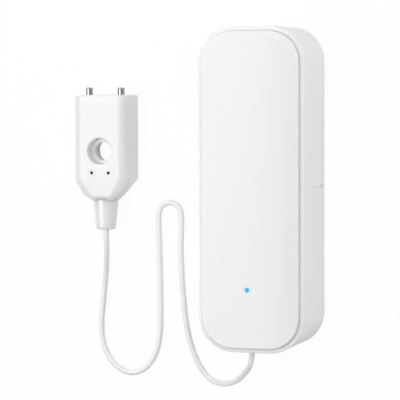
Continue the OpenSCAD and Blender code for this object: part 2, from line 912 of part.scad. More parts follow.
// Tapered boot moulded on the cable, with a neck in the probe's lower end
module cable_boot() {
    color(white)
        translate([probe_x, probe_foot, probe_d / 2])
            rotate([90, 0, 0])
                rotate_extrude()
                    boot_profile();
}

// Half section of the boot: taper, rounded end and neck
module boot_profile() {
    translate([0, -boot_neck_l])
        square([foot_bore_d / 2 - fit_gap, boot_neck_l]);
    polygon([[0, 0], [boot_d / 2, 0], [boot_end_d / 2, boot_l - boot_end_r], [0, boot_l - boot_end_r]]);
    square([boot_end_d / 2 - boot_end_r, boot_l]);
    translate([boot_end_d / 2 - boot_end_r, boot_l - boot_end_r])
        intersection() {
            circle(boot_end_r);
            square(boot_end_r);
        }
}

// Outer form of the probe: soft front edges, flat back, shoulders that taper to the boot
module probe_form() {
    shoulder_y = probe_foot + shoulder_l;
    hull()
        for (x = [-1, 1], front = [0, 1]) {
            r = front == 1 ? probe_edge_r : probe_back_r;
            z = front == 1 ? probe_d - r : r;
            translate([probe_x + x * (probe_w / 2 - r), shoulder_y, z])
                sphere(r, $fn = form_sides);
            translate([probe_x + x * (probe_w / 2 - r), probe_top - probe_top_r, z])
                rotate([90, 0, 0])
                    rotate_extrude($fn = form_sides) {
                        square([r - probe_top_r, probe_top_r]);
                        translate([r - probe_top_r, 0])
                            mirror([0, 1])
                                intersection() {
                                    circle(probe_top_r, $fn = top_edge_sides);
                                    square(probe_top_r);
                                }
                        mirror([0, 1])
                            square([r - probe_top_r, probe_top_r]);
                    }
            translate([probe_x + x * (foot_w / 2 - foot_edge_r), probe_foot + foot_edge_r,
                front == 1 ? probe_d - foot_lift - foot_edge_r : foot_lift + foot_edge_r])
                sphere(foot_edge_r, $fn = foot_sides);
        }
}

// Space inside the probe, round the screw hole's boss
module probe_cavity(z, h, gap) {
    difference() {
        translate([probe_x - cavity_w / 2 + gap, cavity_y + gap, z])
            cube([cavity_w - 2 * gap, cavity_l - 2 * gap, h]);
        translate([probe_x, hole_y, z - cut])
            cylinder(d = counterbore_d + 2 * boss_wall + 2 * gap, h = h + 2 * cut);
    }
}

// Outline of the plate that closes the probe's back, from z up to the ledge that it sits on
module back_plate_block(z, gap) {
    translate([probe_x - cavity_w / 2 - plate_ledge + gap, cavity_y - plate_ledge + gap, z])
        cube([cavity_w + 2 * plate_ledge - 2 * gap, cavity_l + 2 * plate_ledge - 2 * gap, back_plate_t - z]);
}

// Moulded probe housing, open at the back, with the stepped screw hole and the resin holes
module probe_shell() {
    color(white)
        difference() {
            probe_form();
            probe_cavity(back_plate_t - cut, cavity_top - back_plate_t + cut, 0);
            back_plate_block(-cut, 0);
            translate([probe_x, hole_y, -cut])
                cylinder(d = relief_d, h = web_z + cut);
            translate([probe_x, hole_y, web_z - cut])
                cylinder(d = screw_hole_d, h = web_t + 2 * cut);
            translate([probe_x, hole_y, web_z + web_t])
                cylinder(d = counterbore_d, h = counterbore_depth + cut);
            for (x = [-1, 1]) {
                translate([probe_x + x * dot_pitch / 2, hole_y - dot_drop, cavity_top - cut])
                    cylinder(d = dot_d + 2 * dot_fit, h = probe_wall + 2 * cut);
                rod_y([probe_x + x * pin_pitch / 2, probe_top - probe_wall - cut, probe_d / 2],
                    pin_d + 2 * fit_gap, probe_wall + 2 * cut);
            }
            rod_y([probe_x, probe_foot - cut, probe_d / 2], foot_bore_d, cavity_y - probe_foot + 2 * cut);
        }
}

// Flat plate that closes the probe's back, round the screw hole
module probe_back_plate() {
    color(white)
        difference() {
            back_plate_block(0, back_plate_gap);
            translate([probe_x, hole_y, -cut])
                cylinder(d = relief_d, h = back_plate_t + 2 * cut);
        }
}

// Plated pin with a rounded tip, and a flange behind the probe's top wall
module contact_pin(x) {
    tip_r = 0.4;
    color(nickel)
        translate([probe_x + x * pin_pitch / 2, probe_top - probe_wall - pin_root, probe_d / 2])
            rotate([-90, 0, 0])
                rotate_extrude() {
                    square([pin_d / 2, pin_root + probe_wall + pin_reach - tip_r]);
                    square([pin_d / 2 - tip_r, pin_root + probe_wall + pin_reach]);
                    translate([pin_d / 2 - tip_r, pin_root + probe_wall + pin_reach - tip_r])
                        intersection() {
                            circle(tip_r);
                            square(tip_r);
                        }
                    translate([0, pin_root - pin_flange_h])
                        square([pin_flange_d / 2, pin_flange_h]);
                }
}

module contact_pin_left() {
    contact_pin(-1);
}

module contact_pin_right() {
    contact_pin(1);
}

// Small board under the pins, cut out round the boss
module probe_board() {
    color(board_green)
        difference() {
            probe_cavity(probe_board_z, probe_board_t, probe_board_gap);
            for (x = [-1, 1])
                translate([probe_x + x * pin_pitch / 2 - pin_flange_d / 2 - flange_slot_gap,
                    probe_top - probe_wall - pin_flange_h - flange_slot_gap, probe_board_z - cut])
                    cube([pin_flange_d + 2 * flange_slot_gap, pin_flange_h + cut, probe_board_t + 2 * cut]);
        }
}

// The cable's two cores inside the probe, from the boot's neck to the board
module probe_leads() {
    start = probe_foot + boot_neck_l;
    color("#b03a34")
        for (x = [-1, 1])
            rod_y([probe_x + x * probe_lead_pitch / 2, start, probe_d / 2], lead_d,
                cavity_y + probe_lead_in - start);
}

// Black resin over the board. It fills the two small holes in the probe's front.
module potting_resin() {
    color("#161617") {
        probe_cavity(resin_z, cavity_top - resin_z, fit_gap);
        for (x = [-1, 1])
            translate([probe_x + x * dot_pitch / 2, hole_y - dot_drop, cavity_top - cut])
                cylinder(d = dot_d, h = probe_wall - resin_recess + cut);
    }
}

front_cover();
light_pipe();
rear_housing();
battery_cover();
main_board();
wifi_module();
module_shield();
status_led();
pairing_switch();
pairing_button();
cable_header();
lead_plug();
inner_leads();
battery_left();
battery_right();
spring_left();
spring_right();
contact_plate_positive();
contact_plate_negative();
bridge_contact();
housing_screws();
board_screws();
cable_grommet();
probe_cable();
cable_boot();
probe_shell();
probe_back_plate();
contact_pin_left();
contact_pin_right();
probe_board();
probe_leads();
potting_resin();
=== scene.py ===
# Water leak sensor: the finished look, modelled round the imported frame.
# Sizes are in millimetres and become metres by MM. The unit lies on its back on the floor at z = 0.
import math

import bpy
from mathutils import Matrix, Vector


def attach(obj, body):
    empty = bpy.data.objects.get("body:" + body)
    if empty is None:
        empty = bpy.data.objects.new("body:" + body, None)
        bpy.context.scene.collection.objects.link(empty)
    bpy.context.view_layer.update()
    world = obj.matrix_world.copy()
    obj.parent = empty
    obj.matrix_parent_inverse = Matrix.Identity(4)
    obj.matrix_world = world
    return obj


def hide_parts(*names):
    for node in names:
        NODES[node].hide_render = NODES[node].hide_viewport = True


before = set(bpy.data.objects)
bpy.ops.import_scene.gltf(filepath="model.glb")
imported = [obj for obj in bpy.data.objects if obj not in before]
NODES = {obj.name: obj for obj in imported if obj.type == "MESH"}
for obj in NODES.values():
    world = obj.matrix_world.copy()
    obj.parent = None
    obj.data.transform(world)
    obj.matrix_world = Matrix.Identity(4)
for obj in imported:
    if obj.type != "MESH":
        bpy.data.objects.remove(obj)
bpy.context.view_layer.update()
MM = 0.001

# How pieces are cut and joined: a cutter starts PAST a face, and is THROUGH long where it goes through a wall. A piece
# goes into the one that carries it by SINK, fits a hole with FIT_PLAY, and HAIR keeps faces out of one plane.
PAST, THROUGH, SINK, HAIR, FIT_PLAY = 1.0, 4.0, 0.5, 0.02, 0.1
ALONG_Y = (0, 1, 0)
AS_MADE, TURNED_X, TURNED_Z = Matrix(), Matrix.Rotation(math.pi, 4, "X"), Matrix.Rotation(math.pi, 4, "Z")

# Sides of round bars, from large to tiny, and the angle in degrees from which an edge stays sharp
SIDES_LARGE, SIDES, SIDES_SMALL, SIDES_TINY = 96, 64, 48, 32
SHARP = 32

# How near to a level, a ring or an outline a corner counts as being on it, and how near two corners become one
LEVEL_NEAR, RING_NEAR, OUTLINE_NEAR, WELD_NEAR = 0.01, 0.02, 0.1, 0.0005

# A name that ends in EDGE or CORNER is a rounded edge: its radius, and how many faces go round it.

# Sensor unit: outer shells, parting line, pry slots and guide ribs
UNIT_W, UNIT_H, BODY_D = 36.8, 110.0, 27.4
CORNER_R, WALL, BACK_WALL = 12.0, 1.5, 1.6
UNIT_CORNER, BACK_EDGE, RIM_EDGE, RIM_INNER_EDGE = (CORNER_R, 28), (0.8, 7), (0.3, 4), (0.14, 3)
SIDE_MIDDLE, BACK_MIDDLE = UNIT_W / 2 - WALL / 2, BACK_WALL / 2
HOUSING_END, COVER_START, SEAM_EDGE = 0.5, 0.522, (0.03, 2)
SLOT_Y, SLOT_H, SLOT_Z, SLOT_W = 0.6, 0.8, 4.3, 1.5
RIB_LOW, RIB_HIGH, RIB_EDGE = (15.7, 24.2, 14.8), (SIDE_MIDDLE, 43.0, 16.0), (0.3, 3)

# Front panel, and the light pipe in it
PANEL_W, PANEL_H, PANEL_TOP, PANEL_UNDER = 33.76, 106.96, 29.1, 27.3
PANEL_CORNER, PANEL_EDGE = (10.48, 28), (0.4, 7)
SKIRT_Z, SKIRT_T = 23.3, 1.4
HOOK_YS, HOOK_L, HOOK_Z, NOSE_X, NOSE_H, NOSE_SLOPE = (-39.0, -14.4), 5.0, 18.3, 17.5, 1.8, 1.0
POCKET_X, POCKET_Z, POCKET_L = (16.1, 17.7), (18.0, 20.4), 5.6
BOSS_YS, BOSS_D, BOSS_SHOULDER_D, BOSS_SHOULDER_Z, BOSS_SHOULDER_SINK = (6.7, 46.4), 4.8, 7.4, 18.8, 0.6
BORE_D, BORE_L = 2.1, 7.0
LIGHT, LIGHT_D, LIGHT_HOLE_D, LIGHT_HOLE_EDGE = (-0.9, -33.6), 1.4, 1.5, (0.06, 2)
TUBE_D, TUBE_BORE_D, TUBE_H = 5.4, 3.3, 3.5
PIPE_FOOT, PIPE_D, PIPE_FLANGE_D, PIPE_FLANGE_T, PIPE_EDGE = 19.65, 2.4, 3.2, 1.0, (0.3, 5)

# Battery bay, deck and posts of the lower shell
SLIDE_W, SLIDE_END, SLIDE_CORNER = 33.3, 53.25, (10.25, 28)
BAY_BACK, DECK_Z, DECK_TOP = 1.85, 12.95, 14.55
BAY_X, BAY_WALL, BAY_Y, BAY_END = 10.95, 1.1, 2.2, 50.9
DECK_ROOT, STEP_ROOT, SIDE_ROOT, SIDE_SINK, END_SINK, SIDE_SHORT = -0.8, -0.6, 1.0, 0.7, 0.9, 0.1
STEP_EDGE, SIDE_EDGE, END_EDGE = (0.4, 4), (1.0, 6), (0.25, 3)
CRADLE_YS, CRADLE_T, CRADLE_H, CRADLE_SINK, CRADLE_PLAY = (15.7, 36.2), 1.2, 2.8, 0.3, 0.5
POST_X, POST_YS, POST_D, POST_EDGE = 11.2, (-42.0, -8.4), 5.0, (0.3, 3)
BOARD_Z, BOARD_TOP = 17.15, 18.75
PAD_X, PAD_D, PAD_SINK = 9.95, 3.0, 0.8
BUTTON_X, BUTTON_Y, BUTTON_HOLE_D = 13.3, 21.0, 2.2
TAIL_SLOT_W, TAIL_SLOT_Y = 2.3, (50.35, 51.05)

# Cells, springs and screws
CELL_X, CELL_Z, CELL_D, CELL_L = 5.4, 7.4, 10.5, 44.5
CELL_BUTTON_D, CELL_BUTTON_H, CELL_EDGE, CELL_BUTTON_EDGE = 3.8, 0.8, (0.35, 4), (0.3, 4)
CELL_DISH, CELL_RIM, CELL_FOOT_RIM = 0.2, 0.5, 0.6
LEFT_CELL_Y, RIGHT_CELL_Y = 5.6, 47.5
FILM_FOOT, FILM_BAND, FILM_TOP = 0.28, 36.5, 43.42
SPRING_R, SPRING_TIP_R, SPRING_TURNS, SPRING_L, WIRE_D = 3.0, 1.4, 3, 3.0, 0.5
SPRING_STEPS, SPRING_LIFT, SPRING_SEAT = 40, 0.05, 0.4
SCREW_D, SCREW_L, SCREW_HEAD_D, SCREW_HEAD_H = 2.0, 7.6, 3.4, 1.2
SCREW_HEAD_EDGE, SCREW_TIP_EDGE, CROSS_L, CROSS_W, CROSS_DEPTH = (0.7, 5), (0.5, 3), 1.8, 0.44, 0.6

# Probe
PROBE_X, PROBE_W, PROBE_D = -60.4, 21.0, 11.8
PROBE_Z = PROBE_D / 2
PROBE_TOP, PROBE_FOOT, SHOULDER_Y = 31.7, -5.7, 2.5
PROBE_EDGE_R, PROBE_BACK_R, PROBE_TOP_R = 4.0, 1.5, 0.9
FOOT_W, FOOT_EDGE_R, FOOT_LIFT = 10.4, 2.2, 0.6
SWELL_X, SWELL_Y, SWELL_R = 4.75, -0.5, 4.15
BALL_SIDES, BALL_RINGS, RING_SIDES, SKIN_FLAT = 80, 40, 32, 0.2
HOLE, COUNTERBORE_D, COUNTERBORE_Z, COUNTERBORE_EDGE = (PROBE_X, 11.9), 9.3, 8.4, (0.35, 5)
SCREW_HOLE_D, SCREW_HOLE_EDGE, WEB_Z, RELIEF_D, BOSS_WALL = 6.5, (0.3, 4), 6.2, 8.8, 1.4
DOT_X, DOT_Y, DOT_D, DOT_EDGE = 3.15, 4.3, 1.1, (0.1, 2)
CAVITY_W, CAVITY_Y, CAVITY_END, CAVITY_TOP = 16.2, 2.9, 29.7, 9.8
PLATE_T, PLATE_LEDGE, PLATE_GAP, PLATE_CORNER, PLATE_EDGE = 1.2, 0.9, 0.1, (0.8, 5), (0.2, 3)
PIN_X, PIN_D, PIN_ROOT, PIN_TIP, PIN_EDGE = 6.0, 2.5, 24.7, 34.3, (0.4, 5)
PIN_FLANGE_D, PIN_FLANGE_T = 3.6, 0.8
FOOT_BORE_D = 4.0

# Boot, grommet and cable
BOOT_D, BOOT_END_D, BOOT_END, BOOT_SOCKET = 9.1, 7.0, -16.0, 0.9
BOOT_END_EDGE, BOOT_SEAT_EDGE, BOOT_NECK_L = (1.0, 7), (0.12, 3), 3.1
EXIT_X, EXIT_Z, EXIT_D = -1.6, 20.75, 4.4
FLANGE_D, FLANGE_T, INNER_FLANGE_T, FLANGE_EDGE, NECK_SINK = 5.8, 0.5, 0.8, (0.25, 4), 0.2
NOTCH_D, NOTCH_L = 6.3, 4.15
CABLE_D, CABLE_STEPS = 2.0, 8
CABLE_ROUTE = [
    (-60.4, -16, 5.9), (-60.4, -20, 5.8), (-60.8, -25, 4.6), (-61.7, -30.5, 2.7), (-62.8, -36.5, 1.3),
    (-63.6, -43, 1.1), (-64.2, -50, 1.1), (-63.7, -56.5, 1.1), (-61.2, -62.5, 1.1), (-57.2, -66.3, 1.1),
    (-52.2, -67.6, 1.1), (-47.2, -65.4, 1.1), (-43.6, -60.2, 1.1), (-42, -53.5, 1.1), (-41.7, -46, 1.1),
    (-41.7, -38, 1.1), (-41.8, -30, 1.1), (-42, -22, 1.1), (-42.2, -15.5, 1.1), (-42.2, -10.6, 1.1),
    (-41, -7.6, 1.1), (-38, -6.4, 1.1), (-35, -7.6, 1.1), (-33.8, -10.6, 1.1), (-33.8, -15.5, 1.1),
    (-34, -23, 1.1), (-33.7, -31, 1.1), (-33.1, -39.5, 1.1), (-32.2, -48, 1.1), (-30.5, -56, 1.1),
    (-27.4, -63.5, 1.1), (-23.2, -68.5, 1.3), (-17.2, -69.6, 4.2), (-10.4, -67.2, 10.8),
    (-5.6, -63.6, 16.6), (-2.6, -60.2, 20), (-1.6, -55.5, 20.75),
]

# Camera of the photograph, in the part's frame: its place, its three axes, its lens and sensor
CAMERA_PLACE = (207.195, 41.268, 697.619)
CAMERA_AXES = ((0.947995, -0.003502, -0.318265), (-0.016828, 0.997989, -0.061107), (0.317840, 0.063285, 0.946030))
CAMERA_LENS, CAMERA_SENSOR, CAMERA_CLIP = 188.2, 36, (0.05, 5)

# Softboxes: the place, the point that they face, the size and the power in watts
SOFTBOXES = {
    "key": ((-305, -20, 487), (5, -20, 87), (320, 380), 1.19),
    "over": ((230, 240, 500), (-40, 0, 10), (300, 300), 0.64),
    "fill": ((540, 110, 95), (0, 10, 15), (420, 150), 0.98),
    "far": ((-230, 400, 140), (-10, 50, 25), (300, 120), 0.45),
}
SKY_LOW, SKY_HIGH = 0.05, 0.56
FLOOR_SIZE_M, FLOOR_GLOW = 6, 0.95


# Modelling: each function starts, chooses, rounds or joins as one step at the bench


def only(piece):
    """Makes one piece all that the next operators act on."""
    bpy.ops.object.select_all(action="DESELECT")
    piece.select_set(True)
    bpy.context.view_layer.objects.active = piece


def discard(piece):
    bpy.data.objects.remove(piece, do_unlink=True)


def put_in_scene(name, data):
    """A new object for a curve, a lamp or a camera."""
    thing = bpy.data.objects.new(name, data)
    bpy.context.scene.collection.objects.link(thing)
    return thing


def named(name):
    """Names the piece just started, and puts its place into its mesh."""
    piece = bpy.context.active_object
    piece.name = piece.data.name = name
    bpy.ops.object.transform_apply(location=True, rotation=True, scale=True)
    return piece


def block(name, low, high):
    """A box between its lowest and its highest corner."""
    low, high = Vector(low) * MM, Vector(high) * MM
    bpy.ops.object.select_all(action="DESELECT")
    bpy.ops.mesh.primitive_cube_add(size=1, location=(low + high) / 2, scale=high - low)
    return named(name)


def bar(name, start, diameter, length, along=(0, 0, 1), end=None, sides=SIDES):
    """A round bar from its start, or a cone where it ends in another diameter."""
    along = Vector(along)
    bpy.ops.object.select_all(action="DESELECT")
    bpy.ops.mesh.primitive_cone_add(
        vertices=sides,
        radius1=diameter / 2 * MM,
        radius2=(end or diameter) / 2 * MM,
        depth=length * MM,
        location=(Vector(start) + along * length / 2) * MM,
        rotation=along.to_track_quat("Z", "Y").to_euler(),
    )
    return named(name)


def choose(piece, kind, test):
    """Opens a piece for editing with the edges or faces chosen whose corners pass the test."""
    only(piece)
    bpy.ops.object.mode_set(mode="EDIT")
    bpy.ops.mesh.select_mode(type=kind)
    bpy.ops.mesh.select_all(action="DESELECT")
    bpy.ops.object.mode_set(mode="OBJECT")
    spots = [v.co / MM for v in piece.data.vertices]
    for item in piece.data.edges if kind == "EDGE" else piece.data.polygons:
        item.select = test([spots[i] for i in item.vertices])
    bpy.ops.object.mode_set(mode="EDIT")


def choose_all(piece):
    """Opens a piece for editing with all of it chosen."""
    only(piece)
    bpy.ops.object.mode_set(mode="EDIT")
    bpy.ops.mesh.select_all(action="SELECT")


def done():
    bpy.ops.object.mode_set(mode="OBJECT")


def level(corners, axis, value):
    """Whether all corners lie at one value along an axis."""
    return all(abs(c[axis] - value) < LEVEL_NEAR for c in corners)


def upright(corners):
    """Whether an edge runs straight from the back to the front."""
    return level(corners, 0, corners[0].x) and level(corners, 1, corners[0].y)


def on_ring(corners, middle, diameter):
    """Whether all corners lie on a ring about a point, seen from the front."""
    return all(abs(math.dist(c.xy, middle) - diameter / 2) < RING_NEAR for c in corners)


def inside_outline(corner):
    """How far a point lies inside the unit's outline."""
    x = max(abs(corner.x) - (UNIT_W / 2 - CORNER_R), 0)
    y = max(abs(corner.y) - (UNIT_H / 2 - CORNER_R), 0)
    return CORNER_R - math.hypot(x, y)


def round_edges(piece, edge, test):
    """Rounds the chosen edges to a radius, with so many faces."""
    radius, faces = edge
    choose(piece, "EDGE", test)
    bpy.ops.mesh.bevel(offset=radius * MM, segments=faces, profile=0.5, affect="EDGES")
    done()


def push_faces(piece, test, inset, move):
    """Draws in a border on the chosen face, then pushes or pulls what is inside it."""
    choose(piece, "FACE", test)
    bpy.ops.mesh.inset(thickness=inset * MM)
    bpy.ops.mesh.extrude_region_move(TRANSFORM_OT_translate={"value": Vector(move) * MM})
    done()


def slice_off(piece, point, direction):
    """Removes all that lies behind a plane, and closes the cut."""
    choose_all(piece)
    bpy.ops.mesh.bisect(plane_co=Vector(point) * MM, plane_no=direction, use_fill=True, clear_inner=True)
    done()


def combine(piece, how, *others):
    """Adds pieces to a piece (UNION) or cuts them out of it (DIFFERENCE)."""
    for other in others:
        only(piece)
        work = piece.modifiers.new("work", "BOOLEAN")
        work.operation, work.solver, work.object = how, "EXACT", other
        bpy.ops.object.modifier_apply(modifier="work")
        discard(other)
    return piece


def twin_of(piece):
    """A copy of a piece with its own mesh."""
    twin = piece.copy()
    twin.data = piece.data.copy()
    bpy.context.scene.collection.objects.link(twin)
    only(twin)
    return twin


def mirrored(piece):
    """A copy of a piece on the other side of the unit's middle."""
    twin = twin_of(piece)
    choose_all(twin)
    bpy.ops.transform.mirror(constraint_axis=(True, False, False), center_override=(0, 0, 0))
    bpy.ops.mesh.normals_make_consistent(inside=False)
    done()
    return twin


def fit(piece, finish, slot, body, *nodes, sharp=SHARP):
    """Smooth shading with flat faces kept flat, the finish, and the piece's place in the frame."""
    only(piece)
    bpy.ops.object.shade_smooth_by_angle(angle=math.radians(sharp))
    even = piece.modifiers.new("even", "WEIGHTED_NORMAL")
    even.keep_sharp = True
    bpy.ops.object.modifier_apply(modifier="even")
    piece.data.materials.clear()
    piece.data.materials.append(finish)
    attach(piece, body)
    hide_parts(*nodes)


def lay_out(pattern, finish, slot, places, sharp=SHARP):
    """Copies a modelled piece to its places: each a name, the node that it stands for, a move and a turn."""
    for name, stands_for, move, turn in places:
        twin = twin_of(pattern)
        twin.name = twin.data.name = name
        twin.matrix_world = Matrix.Translation(Vector(move) * MM) @ turn
        bpy.ops.object.transform_apply(location=True, rotation=True, scale=True)
        fit(twin, finish, slot, "sensor", stands_for, sharp=sharp)
    discard(pattern)


def bent_line(name, points, diameter, fineness):
    """A curve with a round section through points in metres."""
    line = bpy.data.curves.new(name, "CURVE")
    line.dimensions, line.use_fill_caps = "3D", True
    line.bevel_depth, line.bevel_resolution = diameter / 2 * MM, fineness
    spline = line.splines.new("POLY")
    spline.points.add(len(points) - 1)
    for target, point in zip(spline.points, points):
        target.co = (*point, 1)
    spline.use_smooth = True
    return put_in_scene(name, line)


# Sensor unit


def outer_tray(name):
    """Both outer shells as one tray with rounded corners, before the parting line is cut."""
    tray = block(name, (-UNIT_W / 2, -UNIT_H / 2, 0), (UNIT_W / 2, UNIT_H / 2, BODY_D))
    round_edges(tray, UNIT_CORNER, upright)
    push_faces(tray, lambda c: level(c, 2, BODY_D), WALL, (0, 0, BACK_WALL - BODY_D))
    round_edges(tray, BACK_EDGE, lambda c: level(c, 2, 0))
    round_edges(tray, RIM_EDGE, lambda c: level(c, 2, BODY_D) and max(map(inside_outline, c)) < OUTLINE_NEAR)
    inner = WALL - OUTLINE_NEAR
    round_edges(tray, RIM_INNER_EDGE, lambda c: level(c, 2, BODY_D) and min(map(inside_outline, c)) > inner)
    return tray


def pry_slots():
    """Cutters for the two small openings at the parting line, which take a fingernail."""
    low = (UNIT_W / 2 - WALL - SINK, SLOT_Y - SLOT_H / 2, SLOT_Z - SLOT_W / 2)
    high = (UNIT_W / 2 + SINK, SLOT_Y + SLOT_H / 2, SLOT_Z + SLOT_W / 2)
    right = block("pry_slot", low, high)
    return right, mirrored(right)


def seam_edge(y):
    """Picks the outer edge of a shell along the parting line."""
    return lambda c: level(c, 1, y) and all(abs(p.x) > SIDE_MIDDLE or p.z < BACK_MIDDLE for p in c)


def battery_door(finish):
    """Upper shell: the tray's upper half with its guide ribs."""
    door = outer_tray("battery_door")
    slice_off(door, (0, COVER_START, 0), (0, 1, 0))
    round_edges(door, SEAM_EDGE, seam_edge(COVER_START))
    rib = block("rib", RIB_LOW, RIB_HIGH)
    round_edges(rib, RIB_EDGE, lambda c: level(c, 0, RIB_LOW[0]))
    combine(door, "UNION", mirrored(rib), rib)
    combine(door, "DIFFERENCE", *pry_slots())
    fit(door, finish, "housing_abs", "battery_cover", "battery_cover")


def battery_bay():
    """Deck, bay walls, cradles and the step that enters the cover. No two of their hidden ends lie in one plane."""
    slide_x = SLIDE_W / 2
    bay = block("bay", (-slide_x, DECK_ROOT, DECK_Z), (slide_x, SLIDE_END, DECK_TOP))
    round_edges(bay, SLIDE_CORNER, lambda c: level(c, 1, SLIDE_END) and upright(c))
    step = block("step", (-slide_x + HAIR, STEP_ROOT, BAY_BACK), (slide_x - HAIR, BAY_Y, DECK_Z + SINK))
    round_edges(step, STEP_EDGE, lambda c: level(c, 1, BAY_Y) and level(c, 2, BAY_BACK))
    side_x, side_end = BAY_X + BAY_WALL, BAY_END + BAY_WALL - SIDE_SHORT
    side = block("side", (BAY_X, SIDE_ROOT, BAY_BACK + HAIR), (side_x, side_end, DECK_Z + SIDE_SINK))
    round_edges(side, SIDE_EDGE, lambda c: level(c, 0, side_x) and level(c, 1, side_end))
    end_x, end_back = BAY_X + 2 * HAIR, BAY_BACK + 2 * HAIR
    end = block("end", (-end_x, BAY_END, end_back), (end_x, BAY_END + BAY_WALL, DECK_Z + END_SINK))
    round_edges(end, END_EDGE, lambda c: level(c, 2, end_back) and not level(c, 0, c[0].x))
    combine(bay, "UNION", step, mirrored(side), side, end)
    cradle_x = BAY_X + CRADLE_SINK
    for y in CRADLE_YS:
        cradle = block("cradle", (-cradle_x, y, DECK_Z - CRADLE_H), (cradle_x, y + CRADLE_T, DECK_Z + SINK))
        for x in (-CELL_X, CELL_X):
            seat = bar("seat", (x, y - PAST, CELL_Z), CELL_D + CRADLE_PLAY, CRADLE_T + 2 * PAST, ALONG_Y)
            combine(cradle, "DIFFERENCE", seat)
        combine(bay, "UNION", cradle)
    return bay


def lower_shell(finish):
    """Lower shell with the bay, the bulkhead under the parting line, the board's posts and the cable's exit."""
    shell = outer_tray("lower_shell")
    slice_off(shell, (0, HOUSING_END, 0), (0, -1, 0))
    round_edges(shell, SEAM_EDGE, seam_edge(HOUSING_END))
    low, high = (-SIDE_MIDDLE, HOUSING_END - WALL, BACK_MIDDLE), (SIDE_MIDDLE, HOUSING_END, DECK_TOP)
    combine(shell, "UNION", block("bulkhead", low, high), battery_bay())
    for x in (-1, 1):
        for y in POST_YS:
            post = bar("post", (x * POST_X, y, BACK_MIDDLE), POST_D, BOARD_Z - BACK_MIDDLE)
            round_edges(post, POST_EDGE, lambda c: level(c, 2, BOARD_Z))
            combine(shell, "UNION", post)
            bore = bar("bore", (x * POST_X, y, BOARD_Z - BORE_L), BORE_D, BORE_L + PAST, sides=SIDES_TINY)
            combine(shell, "DIFFERENCE", bore)
        for y in BOSS_YS:
            pad_h = BOARD_Z - DECK_TOP + PAD_SINK
            combine(shell, "UNION", bar("pad", (x * PAD_X, y, DECK_TOP - PAD_SINK), PAD_D, pad_h, sides=SIDES_TINY))
        low = (x * CELL_X - TAIL_SLOT_W / 2, TAIL_SLOT_Y[0], DECK_Z - PAST)
        high = (x * CELL_X + TAIL_SLOT_W / 2, TAIL_SLOT_Y[1], DECK_TOP + PAST)
        combine(shell, "DIFFERENCE", block("tail_slot", low, high))
    for y in HOOK_YS:
        low = (POCKET_X[0], y - POCKET_L / 2, POCKET_Z[0])
        high = (POCKET_X[1], y + POCKET_L / 2, POCKET_Z[1])
        pocket = block("pocket", low, high)
        combine(shell, "DIFFERENCE", mirrored(pocket), pocket)
    for y in BOSS_YS:
        combine(shell, "DIFFERENCE", bar("bore", (0, y, DECK_Z - PAST), BORE_D, THROUGH, sides=SIDES_TINY))
    button_hole = bar("button_hole", (BUTTON_X, BUTTON_Y, DECK_Z - PAST), BUTTON_HOLE_D, THROUGH, sides=SIDES_TINY)
    cable_exit = bar("exit", (EXIT_X, -UNIT_H / 2 - PAST, EXIT_Z), EXIT_D, WALL + 2 * PAST, ALONG_Y)
    combine(shell, "DIFFERENCE", button_hole, cable_exit, *pry_slots())
    fit(shell, finish, "housing_abs", "sensor", "rear_housing")


def snap_hook(y):
    """Tongue under the skirt, with a nose that slopes in at its lower side."""
    skirt_x, low_y, high_y = PANEL_W / 2, y - HOOK_L / 2, y + HOOK_L / 2
    hook = block("hook", (skirt_x - SKIRT_T, low_y, HOOK_Z), (skirt_x, high_y, SKIRT_Z + SINK))
    nose = block("nose", (skirt_x - SINK, low_y, HOOK_Z), (NOSE_X, high_y, HOOK_Z + NOSE_H))
    slice_off(nose, (skirt_x, y, HOOK_Z), (-NOSE_SLOPE, 0, NOSE_X - skirt_x))
    return combine(hook, "UNION", nose)


def front_panel(finish):
    """Panel with a rounded front edge, its skirt, snap hooks, screw bosses and the light pipe's tube."""
    panel = block("front_panel", (-PANEL_W / 2, -PANEL_H / 2, SKIRT_Z), (PANEL_W / 2, PANEL_H / 2, PANEL_TOP))
    round_edges(panel, PANEL_CORNER, upright)
    push_faces(panel, lambda c: level(c, 2, SKIRT_Z), SKIRT_T, (0, 0, PANEL_UNDER - SKIRT_Z))
    round_edges(panel, PANEL_EDGE, lambda c: level(c, 2, PANEL_TOP))
    for y in HOOK_YS:
        hook = snap_hook(y)
        combine(panel, "UNION", mirrored(hook), hook)
    for y in BOSS_YS:
        boss = bar("boss", (0, y, DECK_TOP), BOSS_D, PANEL_UNDER + SINK - DECK_TOP)
        shoulder_h = PANEL_UNDER + BOSS_SHOULDER_SINK - BOSS_SHOULDER_Z
        combine(boss, "UNION", bar("shoulder", (0, y, BOSS_SHOULDER_Z), BOSS_SHOULDER_D, shoulder_h))
        combine(boss, "DIFFERENCE", bar("bore", (0, y, DECK_TOP - PAST), BORE_D, BORE_L + PAST, sides=SIDES_TINY))
        combine(panel, "UNION", boss)
    tube_foot = PANEL_UNDER - TUBE_H
    combine(panel, "UNION", bar("tube", (*LIGHT, tube_foot), TUBE_D, TUBE_H + SINK))
    tube_bore = bar("bore", (*LIGHT, tube_foot - PAST), TUBE_BORE_D, TUBE_H + PAST)
    light_hole = bar("light_hole", (*LIGHT, PANEL_UNDER - PAST), LIGHT_HOLE_D, THROUGH, sides=SIDES_SMALL)
    combine(panel, "DIFFERENCE", tube_bore, light_hole)
    round_edges(panel, LIGHT_HOLE_EDGE, lambda c: level(c, 2, PANEL_TOP) and on_ring(c, LIGHT, LIGHT_HOLE_D))
    combine(panel, "DIFFERENCE", bar("notch", (EXIT_X, -UNIT_H / 2, EXIT_Z), NOTCH_D, NOTCH_L, ALONG_Y))
    fit(panel, finish, "panel_abs", "sensor", "front_cover")


